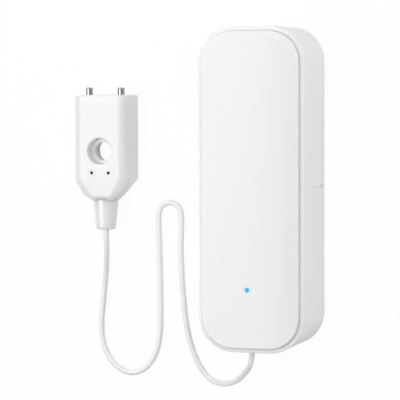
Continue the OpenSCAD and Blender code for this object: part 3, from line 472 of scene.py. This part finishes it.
def light_pipe(finish):
    """Clear rod with a flange and a domed end in the panel."""
    root = PANEL_UNDER - SINK
    rod = bar("light_rod", (*LIGHT, PIPE_FOOT), PIPE_D, root - PIPE_FOOT, sides=SIDES_SMALL)
    flange_z = PANEL_UNDER - PIPE_FLANGE_T
    flange = bar("flange", (*LIGHT, flange_z), PIPE_FLANGE_D, PIPE_FLANGE_T, sides=SIDES_SMALL)
    end = bar("end", (*LIGHT, root), LIGHT_D, PANEL_TOP - root, sides=SIDES_SMALL)
    round_edges(end, PIPE_EDGE, lambda c: level(c, 2, PANEL_TOP))
    combine(rod, "UNION", flange, end)
    fit(rod, finish, "light_pipe_acrylic", "sensor", "light_pipe")


def cells(finish):
    """One cell turned from a bar, with a rolled edge, dished ends and a button. The second lies the other way round."""
    body_l = CELL_L - CELL_BUTTON_H
    cell = bar("cell", (0, 0, 0), CELL_D, body_l, ALONG_Y)
    round_edges(cell, CELL_EDGE, lambda c: level(c, 1, 0) or level(c, 1, body_l))

    def end_face(y):
        """Picks the many-sided face at one end, and not the small ones round it."""
        return lambda c: level(c, 1, y) and len(c) > 8

    dish_r = CELL_D / 2 - CELL_EDGE[0] - CELL_RIM
    push_faces(cell, end_face(0), CELL_FOOT_RIM, (0, CELL_DISH, 0))
    push_faces(cell, end_face(body_l), CELL_RIM, (0, -CELL_DISH, 0))
    push_faces(cell, end_face(body_l - CELL_DISH), dish_r - CELL_BUTTON_D / 2, (0, CELL_BUTTON_H + CELL_DISH, 0))
    round_edges(cell, CELL_BUTTON_EDGE, lambda c: level(c, 1, CELL_L))
    along = cell.data.attributes.new("along", "FLOAT", "POINT")
    along.data.foreach_set("value", [v.co.y / MM for v in cell.data.vertices])
    lay_out(cell, finish, "cell_jacket", (
        ("cell_left", "battery_left", (-CELL_X, LEFT_CELL_Y, CELL_Z), AS_MADE),
        ("cell_right", "battery_right", (CELL_X, RIGHT_CELL_Y, CELL_Z), TURNED_Z),
    ))


def springs(finish):
    """Conical contact springs: three turns of round wire from the plate to the cell."""
    steps = SPRING_STEPS * SPRING_TURNS
    rise = SPRING_L - WIRE_D - 2 * SPRING_LIFT
    turns = []
    for i in range(steps + 1):
        t = i / steps
        r = SPRING_R + (SPRING_TIP_R - SPRING_R) * t
        a = 2 * math.pi * SPRING_TURNS * t
        turns.append(Vector((r * math.cos(a), WIRE_D / 2 + SPRING_LIFT + rise * t, r * math.sin(a))) * MM)
    only(bent_line("spring", turns, WIRE_D, fineness=4))
    bpy.ops.object.convert(target="MESH")
    spring = bpy.context.active_object
    choose_all(spring)
    bpy.ops.mesh.remove_doubles(threshold=WELD_NEAR * MM)
    bpy.ops.mesh.normals_make_consistent(inside=False)
    done()
    lay_out(spring, finish, "spring_nickel", (
        ("contact_spring_left", "spring_left", (-CELL_X, BAY_Y + SPRING_SEAT, CELL_Z), AS_MADE),
        ("contact_spring_right", "spring_right", (CELL_X, BAY_END - SPRING_SEAT, CELL_Z), TURNED_X),
    ), sharp=60)


def screws(finish):
    """Pan-head screw with a cross recess, modelled once and copied to its six places."""
    screw = bar("screw", (0, 0, -SCREW_HEAD_H), SCREW_HEAD_D, SCREW_HEAD_H, sides=SIDES_SMALL)
    round_edges(screw, SCREW_HEAD_EDGE, lambda c: level(c, 2, -SCREW_HEAD_H))
    for x, y in ((CROSS_L / 2, CROSS_W / 2), (CROSS_W / 2, CROSS_L / 2)):
        cross = block("cross", (-x, -y, -SCREW_HEAD_H - PAST), (x, y, -SCREW_HEAD_H + CROSS_DEPTH))
        combine(screw, "DIFFERENCE", cross)
    shank = bar("shank", (0, 0, -SINK), SCREW_D, SCREW_L + SINK, sides=SIDES_TINY)
    round_edges(shank, SCREW_TIP_EDGE, lambda c: level(c, 2, SCREW_L))
    combine(screw, "UNION", shank)
    places = [(f"housing_screw_{i}", "housing_screws", (0, y, DECK_Z), AS_MADE) for i, y in enumerate(BOSS_YS, 1)]
    posts = [(x, y, BOARD_TOP) for x in (-POST_X, POST_X) for y in POST_YS]
    places += [(f"board_screw_{i}", "board_screws", spot, TURNED_X) for i, spot in enumerate(posts, 1)]
    lay_out(screw, finish, "screw_steel", places)


# Probe, boot and cable


def probe_form():
    """Outer form of the probe: a skin drawn over balls and rings at its corners."""
    starts = []

    def ball(radius, spot):
        bpy.ops.mesh.primitive_uv_sphere_add(
            segments=BALL_SIDES, ring_count=BALL_RINGS, radius=radius * MM, location=Vector(spot) * MM,
        )
        starts.append(bpy.context.active_object)

    bpy.ops.object.select_all(action="DESELECT")
    for x in (-1, 1):
        for radius, z in ((PROBE_EDGE_R, PROBE_D - PROBE_EDGE_R), (PROBE_BACK_R, PROBE_BACK_R)):
            middle = PROBE_X + x * (PROBE_W / 2 - radius)
            ball(radius, (middle, SHOULDER_Y, z))
            bpy.ops.mesh.primitive_torus_add(
                major_radius=(radius - PROBE_TOP_R) * MM,
                minor_radius=PROBE_TOP_R * MM,
                major_segments=BALL_SIDES,
                minor_segments=RING_SIDES,
                location=Vector((middle, PROBE_TOP - PROBE_TOP_R, z)) * MM,
                rotation=(math.pi / 2, 0, 0),
            )
            starts.append(bpy.context.active_object)
        foot_x, foot_y = PROBE_X + x * (FOOT_W / 2 - FOOT_EDGE_R), PROBE_FOOT + FOOT_EDGE_R
        ball(FOOT_EDGE_R, (foot_x, foot_y, FOOT_LIFT + FOOT_EDGE_R))
        ball(FOOT_EDGE_R, (foot_x, foot_y, PROBE_D - FOOT_LIFT - FOOT_EDGE_R))
        ball(SWELL_R, (PROBE_X + x * SWELL_X, SWELL_Y, PROBE_D - FOOT_LIFT / 2 - HAIR - SWELL_R))
    for start in starts:
        start.select_set(True)
    bpy.ops.object.join()
    form = named("probe_case")
    choose_all(form)
    bpy.ops.mesh.convex_hull(delete_unused=True, use_existing_faces=False, join_triangles=False)
    bpy.ops.mesh.select_all(action="SELECT")
    bpy.ops.mesh.dissolve_limited(angle_limit=math.radians(SKIN_FLAT))
    done()
    return form


def probe_case(finish):
    """Probe housing with its stepped screw hole, resin holes, pin holes and the space behind."""
    case = probe_form()
    counterbore = bar("counterbore", (*HOLE, COUNTERBORE_Z), COUNTERBORE_D, THROUGH, sides=SIDES_LARGE)
    combine(case, "DIFFERENCE", counterbore)
    round_edges(case, COUNTERBORE_EDGE, lambda c: level(c, 2, PROBE_D) and on_ring(c, HOLE, COUNTERBORE_D))
    for dot in ((PROBE_X - DOT_X, DOT_Y), (PROBE_X + DOT_X, DOT_Y)):
        combine(case, "DIFFERENCE", bar("dot", (*dot, CAVITY_TOP - PAST), DOT_D, THROUGH, sides=SIDES_TINY))
        round_edges(case, DOT_EDGE, lambda c: level(c, 2, PROBE_D) and on_ring(c, dot, DOT_D))
    relief = bar("relief", (*HOLE, -PAST), RELIEF_D, WEB_Z + PAST, sides=SIDES_LARGE)
    screw_hole = bar("screw_hole", (*HOLE, WEB_Z - PAST), SCREW_HOLE_D, THROUGH, sides=SIDES_LARGE)
    combine(case, "DIFFERENCE", relief, screw_hole)
    round_edges(case, SCREW_HOLE_EDGE, lambda c: level(c, 2, COUNTERBORE_Z) and on_ring(c, HOLE, SCREW_HOLE_D))
    low_x, high_x = PROBE_X - CAVITY_W / 2, PROBE_X + CAVITY_W / 2
    hollow = block("hollow", (low_x, CAVITY_Y, PLATE_T - SINK), (high_x, CAVITY_END, CAVITY_TOP))
    boss_d = COUNTERBORE_D + 2 * BOSS_WALL
    combine(hollow, "DIFFERENCE", bar("boss", (*HOLE, 0), boss_d, PROBE_D, sides=SIDES_LARGE))
    ledge_low = (low_x - PLATE_LEDGE, CAVITY_Y - PLATE_LEDGE, -PAST)
    ledge_high = (high_x + PLATE_LEDGE, CAVITY_END + PLATE_LEDGE, PLATE_T)
    combine(case, "DIFFERENCE", hollow, block("ledge", ledge_low, ledge_high))
    for x in (PROBE_X - PIN_X, PROBE_X + PIN_X):
        start = (x, CAVITY_END - PAST, PROBE_Z)
        combine(case, "DIFFERENCE", bar("pin_hole", start, PIN_D + FIT_PLAY, THROUGH, ALONG_Y, sides=SIDES_SMALL))
    start = (PROBE_X, PROBE_FOOT - PAST, PROBE_Z)
    foot_bore = bar("foot_bore", start, FOOT_BORE_D, CAVITY_Y - PROBE_FOOT + 2 * PAST, ALONG_Y)
    socket = bar("socket", start, BOOT_D + FIT_PLAY, PAST + BOOT_SOCKET, ALONG_Y)
    combine(case, "DIFFERENCE", foot_bore, socket)
    fit(case, finish, "probe_abs", "sensor", "probe_shell", sharp=28)


def back_plate(finish):
    """Plate in the probe's back, round the screw hole."""
    border = PLATE_LEDGE - PLATE_GAP
    low = (PROBE_X - CAVITY_W / 2 - border, CAVITY_Y - border, 0)
    high = (PROBE_X + CAVITY_W / 2 + border, CAVITY_END + border, PLATE_T)
    plate = block("back_plate", low, high)
    round_edges(plate, PLATE_CORNER, upright)
    combine(plate, "DIFFERENCE", bar("relief", (*HOLE, -PAST), RELIEF_D, THROUGH, sides=SIDES_LARGE))
    round_edges(plate, PLATE_EDGE, lambda c: level(c, 2, 0))
    fit(plate, finish, "probe_abs", "sensor", "probe_back_plate")


def contact_pins(finish):
    """Turned pins with a rounded tip and a flange behind the probe's top wall."""
    pin = bar("pin", (0, PIN_ROOT, 0), PIN_D, PIN_TIP - PIN_ROOT, ALONG_Y, sides=SIDES_SMALL)
    round_edges(pin, PIN_EDGE, lambda c: level(c, 1, PIN_TIP))
    flange_start = (0, CAVITY_END - PIN_FLANGE_T, 0)
    combine(pin, "UNION", bar("flange", flange_start, PIN_FLANGE_D, PIN_FLANGE_T, ALONG_Y, sides=SIDES_SMALL))
    lay_out(pin, finish, "pin_nickel", (
        ("pin_left", "contact_pin_left", (PROBE_X - PIN_X, 0, PROBE_Z), AS_MADE),
        ("pin_right", "contact_pin_right", (PROBE_X + PIN_X, 0, PROBE_Z), AS_MADE),
    ))


def cable_boot(finish):
    """Tapered boot with a rounded end, seated in the probe's foot."""
    seat = PROBE_FOOT + BOOT_SOCKET
    start = (PROBE_X, seat, PROBE_Z)
    boot = bar("boot", start, BOOT_D, seat - BOOT_END, (0, -1, 0), end=BOOT_END_D, sides=SIDES_LARGE)
    round_edges(boot, BOOT_END_EDGE, lambda c: level(c, 1, BOOT_END))
    round_edges(boot, BOOT_SEAT_EDGE, lambda c: level(c, 1, seat))
    neck_start = (PROBE_X, seat - SINK, PROBE_Z)
    combine(boot, "UNION", bar("neck", neck_start, FOOT_BORE_D - FIT_PLAY, BOOT_NECK_L + SINK, ALONG_Y))
    fit(boot, finish, "boot_pvc", "sensor", "cable_boot")


def grommet(finish):
    """Soft grommet in the lower end: a rounded outer flange, a neck in the wall and an inner flange."""
    outside, inside = -UNIT_H / 2, -UNIT_H / 2 + WALL
    soft = bar("grommet", (EXIT_X, outside - FLANGE_T, EXIT_Z), FLANGE_D, FLANGE_T, ALONG_Y)
    round_edges(soft, FLANGE_EDGE, lambda c: level(c, 1, outside - FLANGE_T))
    neck_start = (EXIT_X, outside - NECK_SINK, EXIT_Z)
    neck = bar("neck", neck_start, EXIT_D - FIT_PLAY, WALL + 2 * NECK_SINK, ALONG_Y)
    inner = bar("inner", (EXIT_X, inside, EXIT_Z), FLANGE_D, INNER_FLANGE_T, ALONG_Y)
    round_edges(inner, FLANGE_EDGE, lambda c: level(c, 1, inside + INNER_FLANGE_T))
    combine(soft, "UNION", neck, inner)
    fit(soft, finish, "grommet_pvc", "sensor", "cable_grommet")


def smooth_points(route, steps):
    """Points of a smooth curve through the route, in metres."""
    p = [Vector(q) for q in route]
    points = []
    for i in range(len(p) - 1):
        a, b, c, d = p[max(i - 1, 0)], p[i], p[i + 1], p[min(i + 2, len(p) - 1)]
        for k in range(steps):
            t = k / steps
            square, cube = 2 * a - 5 * b + 4 * c - d, 3 * b - a - 3 * c + d
            points.append(0.5 * (2 * b + (c - a) * t + square * t * t + cube * t**3))
    return [q * MM for q in points + [p[-1]]]


def lay_cable(finish):
    """The whole cable, from the unit's lower end to the probe's boot."""
    points = smooth_points(CABLE_ROUTE[::-1], CABLE_STEPS)
    cable = bent_line("probe_cord", points, CABLE_D, fineness=8)
    cable.data.materials.append(finish)
    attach(cable, "sensor")
    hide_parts("probe_cable")


# Finishes. Patterns in millimetres: the drift of colour over the plastics, the panel's grain, how far the status
# light's painted halo reaches on the panel and how deep light enters it, the clouds on metal, the boards' tracks and
# the scuffs on film. A name that ends in H is the height of a relief. SCATTER is the share of light that enters a pale
# plastic, and a wave of scale 1 is WAVE long.

DRIFT, PANEL_DRIFT, PANEL_GRAIN, PANEL_DEPTH, PAINTED_HALO_R, LIT_CORE_R, LIT_FROM_Z = 28, 40, 0.4, 1.2, 2.0, 0.25, 20
CLOUD, TRACK_FIELD, TRACK_PITCH, SCUFF = 3, 9, 0.9, 1.5
ETCH_H, MARK_H, TRACK_H = 0.02, 0.01, 0.03
SCATTER, WAVE = 0.7, math.pi / 10
COLOURS, SOFT_STEP = {"data_type": "RGBA"}, {"interpolation_type": "SMOOTHSTEP"}
DISTANCE, GREATEST, PRODUCT = {"operation": "DISTANCE"}, {"operation": "MAXIMUM"}, {"operation": "MULTIPLY"}
ABOVE, BELOW = {"operation": "GREATER_THAN"}, {"operation": "LESS_THAN"}


def linear(hex_colour):
    """sRGB hex value as linear red, green, blue and alpha."""
    channels = [int(hex_colour[i : i + 2], 16) / 255 for i in (1, 3, 5)]
    return [c / 12.92 if c <= 0.04045 else ((c + 0.055) / 1.055) ** 2.4 for c in channels] + [1.0]


def node(tree, kind, settings=None, **links):
    """Adds a node. Settings are its properties. Links are its inputs, by name or by place as i0, i1 and so on: a value,
    or another node's output."""
    made = tree.nodes.new(kind)
    for key, value in (settings or {}).items():
        setattr(made, key, value)
    for key, value in links.items():
        by_place = key[0] == "i" and key[1:].isdigit()
        socket = made.inputs[int(key[1:]) if by_place else key.replace("_", " ")]
        if isinstance(value, bpy.types.NodeSocket):
            tree.links.new(value, socket)
        else:
            socket.default_value = value
    return made


def new_material(name):
    """An empty node material: the material, its tree and the place on the object."""
    material = bpy.data.materials.new(name)
    material.use_nodes = True
    material.node_tree.nodes.clear()
    place = node(material.node_tree, "ShaderNodeTexCoord").outputs["Object"]
    return material, material.node_tree, place


def close(tree, shader):
    node(tree, "ShaderNodeOutputMaterial", Surface=shader.outputs[0])


def moulded(name, colour, shade, roughness, grain, relief, ior=1.53, depth=0.0, shine=0.5, spread=0.06):
    """Moulded plastic: an etched grain breaks up the highlights, the colour drifts a little over each piece, and light
    enters a pale plastic to its depth in millimetres, which softens its edges and gaps. A real etch is some 0.05 mm
    across, too fine to show, so the grain is drawn as coarse as it needs to be."""
    material, tree, place = new_material(name)
    drift = node(tree, "ShaderNodeTexNoise", Vector=place, Scale=1 / (DRIFT * MM), Detail=2.0)
    tone = node(tree, "ShaderNodeMix", COLOURS, i0=drift.outputs[0], i6=linear(shade), i7=linear(colour))
    etch = node(tree, "ShaderNodeTexNoise", Vector=place, Scale=1 / (grain * MM), Detail=4.0, Roughness=0.6)
    low, high = roughness - spread, roughness + spread
    gloss = node(tree, "ShaderNodeMapRange", Value=etch.outputs[0], To_Min=low, To_Max=high)
    bump = node(tree, "ShaderNodeBump", Height=etch.outputs[0], Strength=relief, Distance=ETCH_H * MM)
    close(tree, node(
        tree, "ShaderNodeBsdfPrincipled",
        Base_Color=tone.outputs[2], Roughness=gloss.outputs[0], Normal=bump.outputs[0],
        IOR=ior, Specular_IOR_Level=shine,
        Subsurface_Weight=SCATTER if depth else 0.0, Subsurface_Radius=(1, 1, 1), Subsurface_Scale=depth * MM,
    ))
    return material


def panel_plastic(name, colour, shade, roughness, glow):
    """Satin moulded panel: smoother than the shells, with a painted halo of the status light round the light hole: a
    pale blue tint mixed into the white, glow strong at the hole's edge and fading out a little way from it. Its grain
    is drawn coarser than the real one, as on the shells."""
    material, tree, place = new_material(name)
    drift = node(tree, "ShaderNodeTexNoise", Vector=place, Scale=1 / (PANEL_DRIFT * MM), Detail=2.0)
    tone = node(tree, "ShaderNodeMix", COLOURS, i0=drift.outputs[0], i6=linear(shade), i7=linear(colour))
    etch = node(tree, "ShaderNodeTexNoise", Vector=place, Scale=1 / (PANEL_GRAIN * MM), Detail=3.0)
    low, high = roughness - 0.03, roughness + 0.03
    gloss = node(tree, "ShaderNodeMapRange", Value=etch.outputs[0], To_Min=low, To_Max=high)
    bump = node(tree, "ShaderNodeBump", Height=etch.outputs[0], Strength=0.04, Distance=ETCH_H * MM)
    # Painted light: the status light's halo is a pale blue tint painted into the base colour, fading with distance from
    # the light hole
    away = node(tree, "ShaderNodeVectorMath", DISTANCE, i0=place, i1=Vector((*LIGHT, PANEL_TOP)) * MM)
    painted_halo_mask = node(
        tree, "ShaderNodeMapRange", SOFT_STEP, Value=away.outputs["Value"],
        From_Min=LIGHT_D / 2 * MM, From_Max=PAINTED_HALO_R * MM, To_Min=glow, To_Max=0.0,
    )
    painted_halo = node(tree, "ShaderNodeMix", COLOURS, i0=painted_halo_mask.outputs[0], i6=tone.outputs[2], i7=linear("#9fd0f4"))
    close(tree, node(
        tree, "ShaderNodeBsdfPrincipled",
        Base_Color=painted_halo.outputs[2], Roughness=gloss.outputs[0], Normal=bump.outputs[0], IOR=1.53,
        Subsurface_Weight=SCATTER, Subsurface_Radius=(1, 1, 1), Subsurface_Scale=PANEL_DEPTH * MM,
    ))
    return material


def lit_acrylic(name):
    """Polished acrylic rod with blue light in it: brightest at the end that shows, and deepest in its middle."""
    material, tree, place = new_material(name)
    spot = node(tree, "ShaderNodeSeparateXYZ", Vector=place)
    axis = node(tree, "ShaderNodeCombineXYZ", X=LIGHT[0] * MM, Y=LIGHT[1] * MM, Z=spot.outputs["Z"])
    away = node(tree, "ShaderNodeVectorMath", DISTANCE, i0=place, i1=axis.outputs[0])
    low, high = LIT_CORE_R * MM, LIGHT_D / 2 * MM
    rim = node(tree, "ShaderNodeMapRange", Value=away.outputs["Value"], From_Min=low, From_Max=high)
    colour = node(tree, "ShaderNodeMix", COLOURS, i0=rim.outputs[0], i6=linear("#00a2f5"), i7=linear("#20a8f6"))
    lit = node(
        tree, "ShaderNodeMapRange", Value=spot.outputs["Z"],
        From_Min=LIT_FROM_Z * MM, From_Max=PANEL_TOP * MM, To_Min=0.4, To_Max=1.0,
    )
    close(tree, node(
        tree, "ShaderNodeBsdfPrincipled",
        Base_Color=linear("#06182c"), Roughness=0.25, IOR=1.49, Transmission_Weight=0.1,
        Emission_Color=colour.outputs[2], Emission_Strength=lit.outputs[0],
    ))
    return material


def metal(name, colour, shade, roughness, pitch, axis):
    """Bare or plated metal: marks of the tool run round or along it, and spread its highlights. Real marks are some
    0.03 mm apart, too fine to show, so the pitch is drawn coarser."""
    material, tree, place = new_material(name)
    marks = node(
        tree, "ShaderNodeTexWave", {"bands_direction": axis}, Vector=place,
        Scale=WAVE / (pitch * MM), Distortion=3.0, Detail=2.0,
    )
    cloud = node(tree, "ShaderNodeTexNoise", Vector=place, Scale=1 / (CLOUD * MM), Detail=3.0)
    tone = node(tree, "ShaderNodeMix", COLOURS, i0=cloud.outputs[0], i6=linear(shade), i7=linear(colour))
    low, high = roughness - 0.04, roughness + 0.06
    gloss = node(tree, "ShaderNodeMapRange", Value=marks.outputs[1], To_Min=low, To_Max=high)
    bump = node(tree, "ShaderNodeBump", Height=marks.outputs[1], Strength=0.08, Distance=MARK_H * MM)
    close(tree, node(
        tree, "ShaderNodeBsdfPrincipled",
        Base_Color=tone.outputs[2], Metallic=1.0, Roughness=gloss.outputs[0], Normal=bump.outputs[0],
    ))
    return material


def laminate(name, mask, trace):
    """Glass-fibre board under solder mask: paler tracks show through it, and the mask is glossy. The tracks are drawn
    at about twice their real pitch, to show at all."""
    material, tree, place = new_material(name)
    fields = node(tree, "ShaderNodeTexNoise", Vector=place, Scale=1 / (TRACK_FIELD * MM), Detail=0.0)
    tracks = []
    for axis in ("X", "Y"):
        wave = node(tree, "ShaderNodeTexWave", {"bands_direction": axis}, Vector=place, Scale=WAVE / (TRACK_PITCH * MM))
        tracks.append(node(tree, "ShaderNodeMath", ABOVE, i0=wave.outputs[1], i1=0.72).outputs[0])
    across = node(tree, "ShaderNodeMath", ABOVE, i0=fields.outputs[0], i1=0.5)
    run = node(tree, "ShaderNodeMix", i0=across.outputs[0], i2=tracks[0], i3=tracks[1])
    tone = node(tree, "ShaderNodeMix", COLOURS, i0=run.outputs[0], i6=linear(mask), i7=linear(trace))
    bump = node(tree, "ShaderNodeBump", Height=run.outputs[0], Strength=0.3, Distance=TRACK_H * MM)
    close(tree, node(
        tree, "ShaderNodeBsdfPrincipled",
        Base_Color=tone.outputs[2], Roughness=0.28, Normal=bump.outputs[0], IOR=1.55,
    ))
    return material


def cell_film(name):
    """Cell in printed shrink film: graphite with a pale band at the button end, and bare nickel at both ends."""
    material, tree, place = new_material(name)
    along = node(tree, "ShaderNodeAttribute", {"attribute_name": "along"}).outputs["Fac"]
    band = node(tree, "ShaderNodeMath", ABOVE, i0=along, i1=FILM_BAND)
    film = node(tree, "ShaderNodeMix", COLOURS, i0=band.outputs[0], i6=linear("#3b4046"), i7=linear("#aeb4ba"))
    top = node(tree, "ShaderNodeMath", ABOVE, i0=along, i1=FILM_TOP)
    foot = node(tree, "ShaderNodeMath", BELOW, i0=along, i1=FILM_FOOT)
    bare = node(tree, "ShaderNodeMath", GREATEST, i0=top.outputs[0], i1=foot.outputs[0])
    tone = node(tree, "ShaderNodeMix", COLOURS, i0=bare.outputs[0], i6=film.outputs[2], i7=linear("#c6c6c2"))
    scuff = node(tree, "ShaderNodeTexNoise", Vector=place, Scale=1 / (SCUFF * MM), Detail=4.0)
    gloss = node(tree, "ShaderNodeMapRange", Value=scuff.outputs[0], To_Min=0.2, To_Max=0.36)
    close(tree, node(
        tree, "ShaderNodeBsdfPrincipled",
        Base_Color=tone.outputs[2], Metallic=bare.outputs[0], Roughness=gloss.outputs[0],
    ))
    return material


def dress(finish, *names):
    """Gives carried-over nodes their finish."""
    for name in names:
        NODES[name].data.materials.clear()
        NODES[name].data.materials.append(finish)


# Stage


def aim_camera():
    """Camera of the photograph."""
    lens = bpy.data.cameras.new("photo_camera")
    lens.sensor_width, lens.lens = CAMERA_SENSOR, CAMERA_LENS
    lens.clip_start, lens.clip_end = CAMERA_CLIP
    camera = put_in_scene("photo_camera", lens)
    turn = Matrix(CAMERA_AXES).transposed().to_4x4()
    camera.matrix_world = Matrix.Translation(Vector(CAMERA_PLACE) * MM) @ turn
    bpy.context.scene.camera = camera


def white_floor():
    """White sheet: the camera and reflections see it lit from behind, and it still takes the object's shadow."""
    material, tree, _ = new_material("white_sheet")
    path = node(tree, "ShaderNodeLightPath").outputs
    seen = node(tree, "ShaderNodeMath", GREATEST, i0=path["Is Camera Ray"], i1=path["Is Glossy Ray"])
    seen = node(tree, "ShaderNodeMath", GREATEST, i0=seen.outputs[0], i1=path["Is Transmission Ray"])
    share = node(tree, "ShaderNodeMath", PRODUCT, i0=seen.outputs[0], i1=FLOOR_GLOW)
    tone = node(tree, "ShaderNodeMix", COLOURS, i0=seen.outputs[0], i6=linear("#dcdcdc"), i7=linear("#fafafa"))
    paper = node(tree, "ShaderNodeBsdfDiffuse", Color=tone.outputs[2])
    glow = node(tree, "ShaderNodeEmission", Color=(1, 1, 1, 1), Strength=1.0)
    close(tree, node(tree, "ShaderNodeMixShader", i0=share.outputs[0], i1=paper.outputs[0], i2=glow.outputs[0]))
    bpy.ops.object.select_all(action="DESELECT")
    bpy.ops.mesh.primitive_plane_add(size=FLOOR_SIZE_M)
    floor = named("floor")
    floor.data.materials.append(material)


def softbox(name, place, aim, size, watts):
    """A rectangular lamp that faces a point."""
    lamp = bpy.data.lights.new(name, "AREA")
    lamp.shape, lamp.size, lamp.size_y, lamp.energy = "RECTANGLE", size[0] * MM, size[1] * MM, watts
    away = (Vector(place) - Vector(aim)) * MM
    turn = away.to_track_quat("Z", "Y").to_matrix().to_4x4()
    put_in_scene(name, lamp).matrix_world = Matrix.Translation(Vector(place) * MM) @ turn


def studio_light():
    """A sky that is brighter overhead, a soft key from the left, two weaker softboxes from the right, and a low one
    from the far left that opens the shade round the panel."""
    world = bpy.data.worlds.new("studio")
    bpy.context.scene.world = world
    world.use_nodes = True
    tree = world.node_tree
    tree.nodes.clear()
    way = node(tree, "ShaderNodeSeparateXYZ", Vector=node(tree, "ShaderNodeTexCoord").outputs["Generated"])
    height = node(tree, "ShaderNodeMapRange", Value=way.outputs["Z"], To_Min=SKY_LOW, To_Max=SKY_HIGH)
    sky = node(tree, "ShaderNodeBackground", Color=(1, 1, 1, 1), Strength=height.outputs[0])
    node(tree, "ShaderNodeOutputWorld", Surface=sky.outputs[0])
    for name, settings in SOFTBOXES.items():
        softbox(name, *settings)


aim_camera()

# After its two colours, a plastic has its roughness, its grain in millimetres and its relief. A metal has its
# roughness, the pitch of its tool marks in millimetres and the axis across them.

# Extruded PVC: a broad soft line of light along the cable
lay_cable(moulded("extruded_pvc_white", "#fbfbfa", "#f8f8f7", 0.36, 0.5, 0.01, shine=0.8, spread=0.01))

# Satin ABS: the smoothest white, even and slightly greyer than the shells, with the status light's halo painted into it
# as a blue tint round the light hole
front_panel(panel_plastic("satin_abs_white", "#efefef", "#ededed", 0.11, 0.3))

# Lit acrylic: the one colour, a blue point of light
light_pipe(lit_acrylic("polished_acrylic_lit_blue"))

# Etched ABS: matt white shells with soft shading and no clear reflections
housing_white = moulded("moulded_abs_white", "#fafafa", "#f7f7f7", 0.45, 0.35, 0.12, depth=0.5, shine=0.45)
lower_shell(housing_white)
battery_door(housing_white)

# Finer ABS: a glossier white, softly shaded
probe_white = moulded("moulded_abs_probe_white", "#fcfcfc", "#fafafa", 0.22, 0.35, 0.1, depth=2.5)
probe_case(probe_white)
back_plate(probe_white)

# Nickel on turned brass: neutral and mirror-bright, with pale and dark bands
contact_pins(metal("nickel_plated_turned_brass", "#b8b7b4", "#a3a29f", 0.06, 0.12, "Y"))

# Soft PVC: a rubbery white that light goes far into, with a clear highlight
soft_white = moulded("soft_pvc_white", "#fbfbfa", "#f8f8f7", 0.22, 0.5, 0.03, depth=3.5, shine=0.85, spread=0.02)
cable_boot(soft_white)
grommet(soft_white)

# Pieces inside, which show with the cover off: glossy film on the cells, greyer wire and strip, dull screws and shield
cells(cell_film("printed_shrink_film"))
springs(metal("nickel_plated_spring_wire", "#c6c6c2", "#b4b4b0", 0.22, 0.15, "Y"))
screws(metal("zinc_plated_steel", "#b4b8bc", "#9fa4a9", 0.3, 0.15, "Z"))
plate_nickel = metal("nickel_plated_strip", "#c4c4c0", "#b2b2ae", 0.24, 0.2, "X")
dress(plate_nickel, "contact_plate_positive", "contact_plate_negative", "bridge_contact")
dress(metal("tin_plated_pressed_steel", "#c6c8ca", "#b3b6b9", 0.34, 0.25, "X"), "module_shield")

# Glossy boards, a clear lens, dull nylons and leads, dark resin
dress(laminate("solder_mask_green", "#1c6142", "#2b7d58"), "main_board", "probe_board")
dress(laminate("solder_mask_blue", "#1b3a5c", "#2a5680"), "wifi_module")
dress(moulded("cast_epoxy_clear_white", "#eef2f6", "#dfe6ee", 0.2, 0.3, 0.05, ior=1.5), "status_led")
dress(moulded("moulded_nylon_black", "#2a2a2c", "#222224", 0.45, 0.3, 0.15), "pairing_switch")
dress(moulded("moulded_abs_grey", "#62676c", "#575c61", 0.42, 0.3, 0.12), "pairing_button")
dress(moulded("moulded_nylon_natural", "#eee8d5", "#e4ddc6", 0.4, 0.3, 0.1), "cable_header", "lead_plug")
dress(moulded("extruded_pvc_red", "#ad3630", "#9c2e29", 0.35, 0.3, 0.08), "inner_leads", "probe_leads")
dress(moulded("cast_epoxy_black", "#0b0b0c", "#070708", 0.6, 0.6, 0.1, ior=1.4), "potting_resin")

white_floor()
studio_light()
bpy.context.scene.view_settings.view_transform = "Standard"
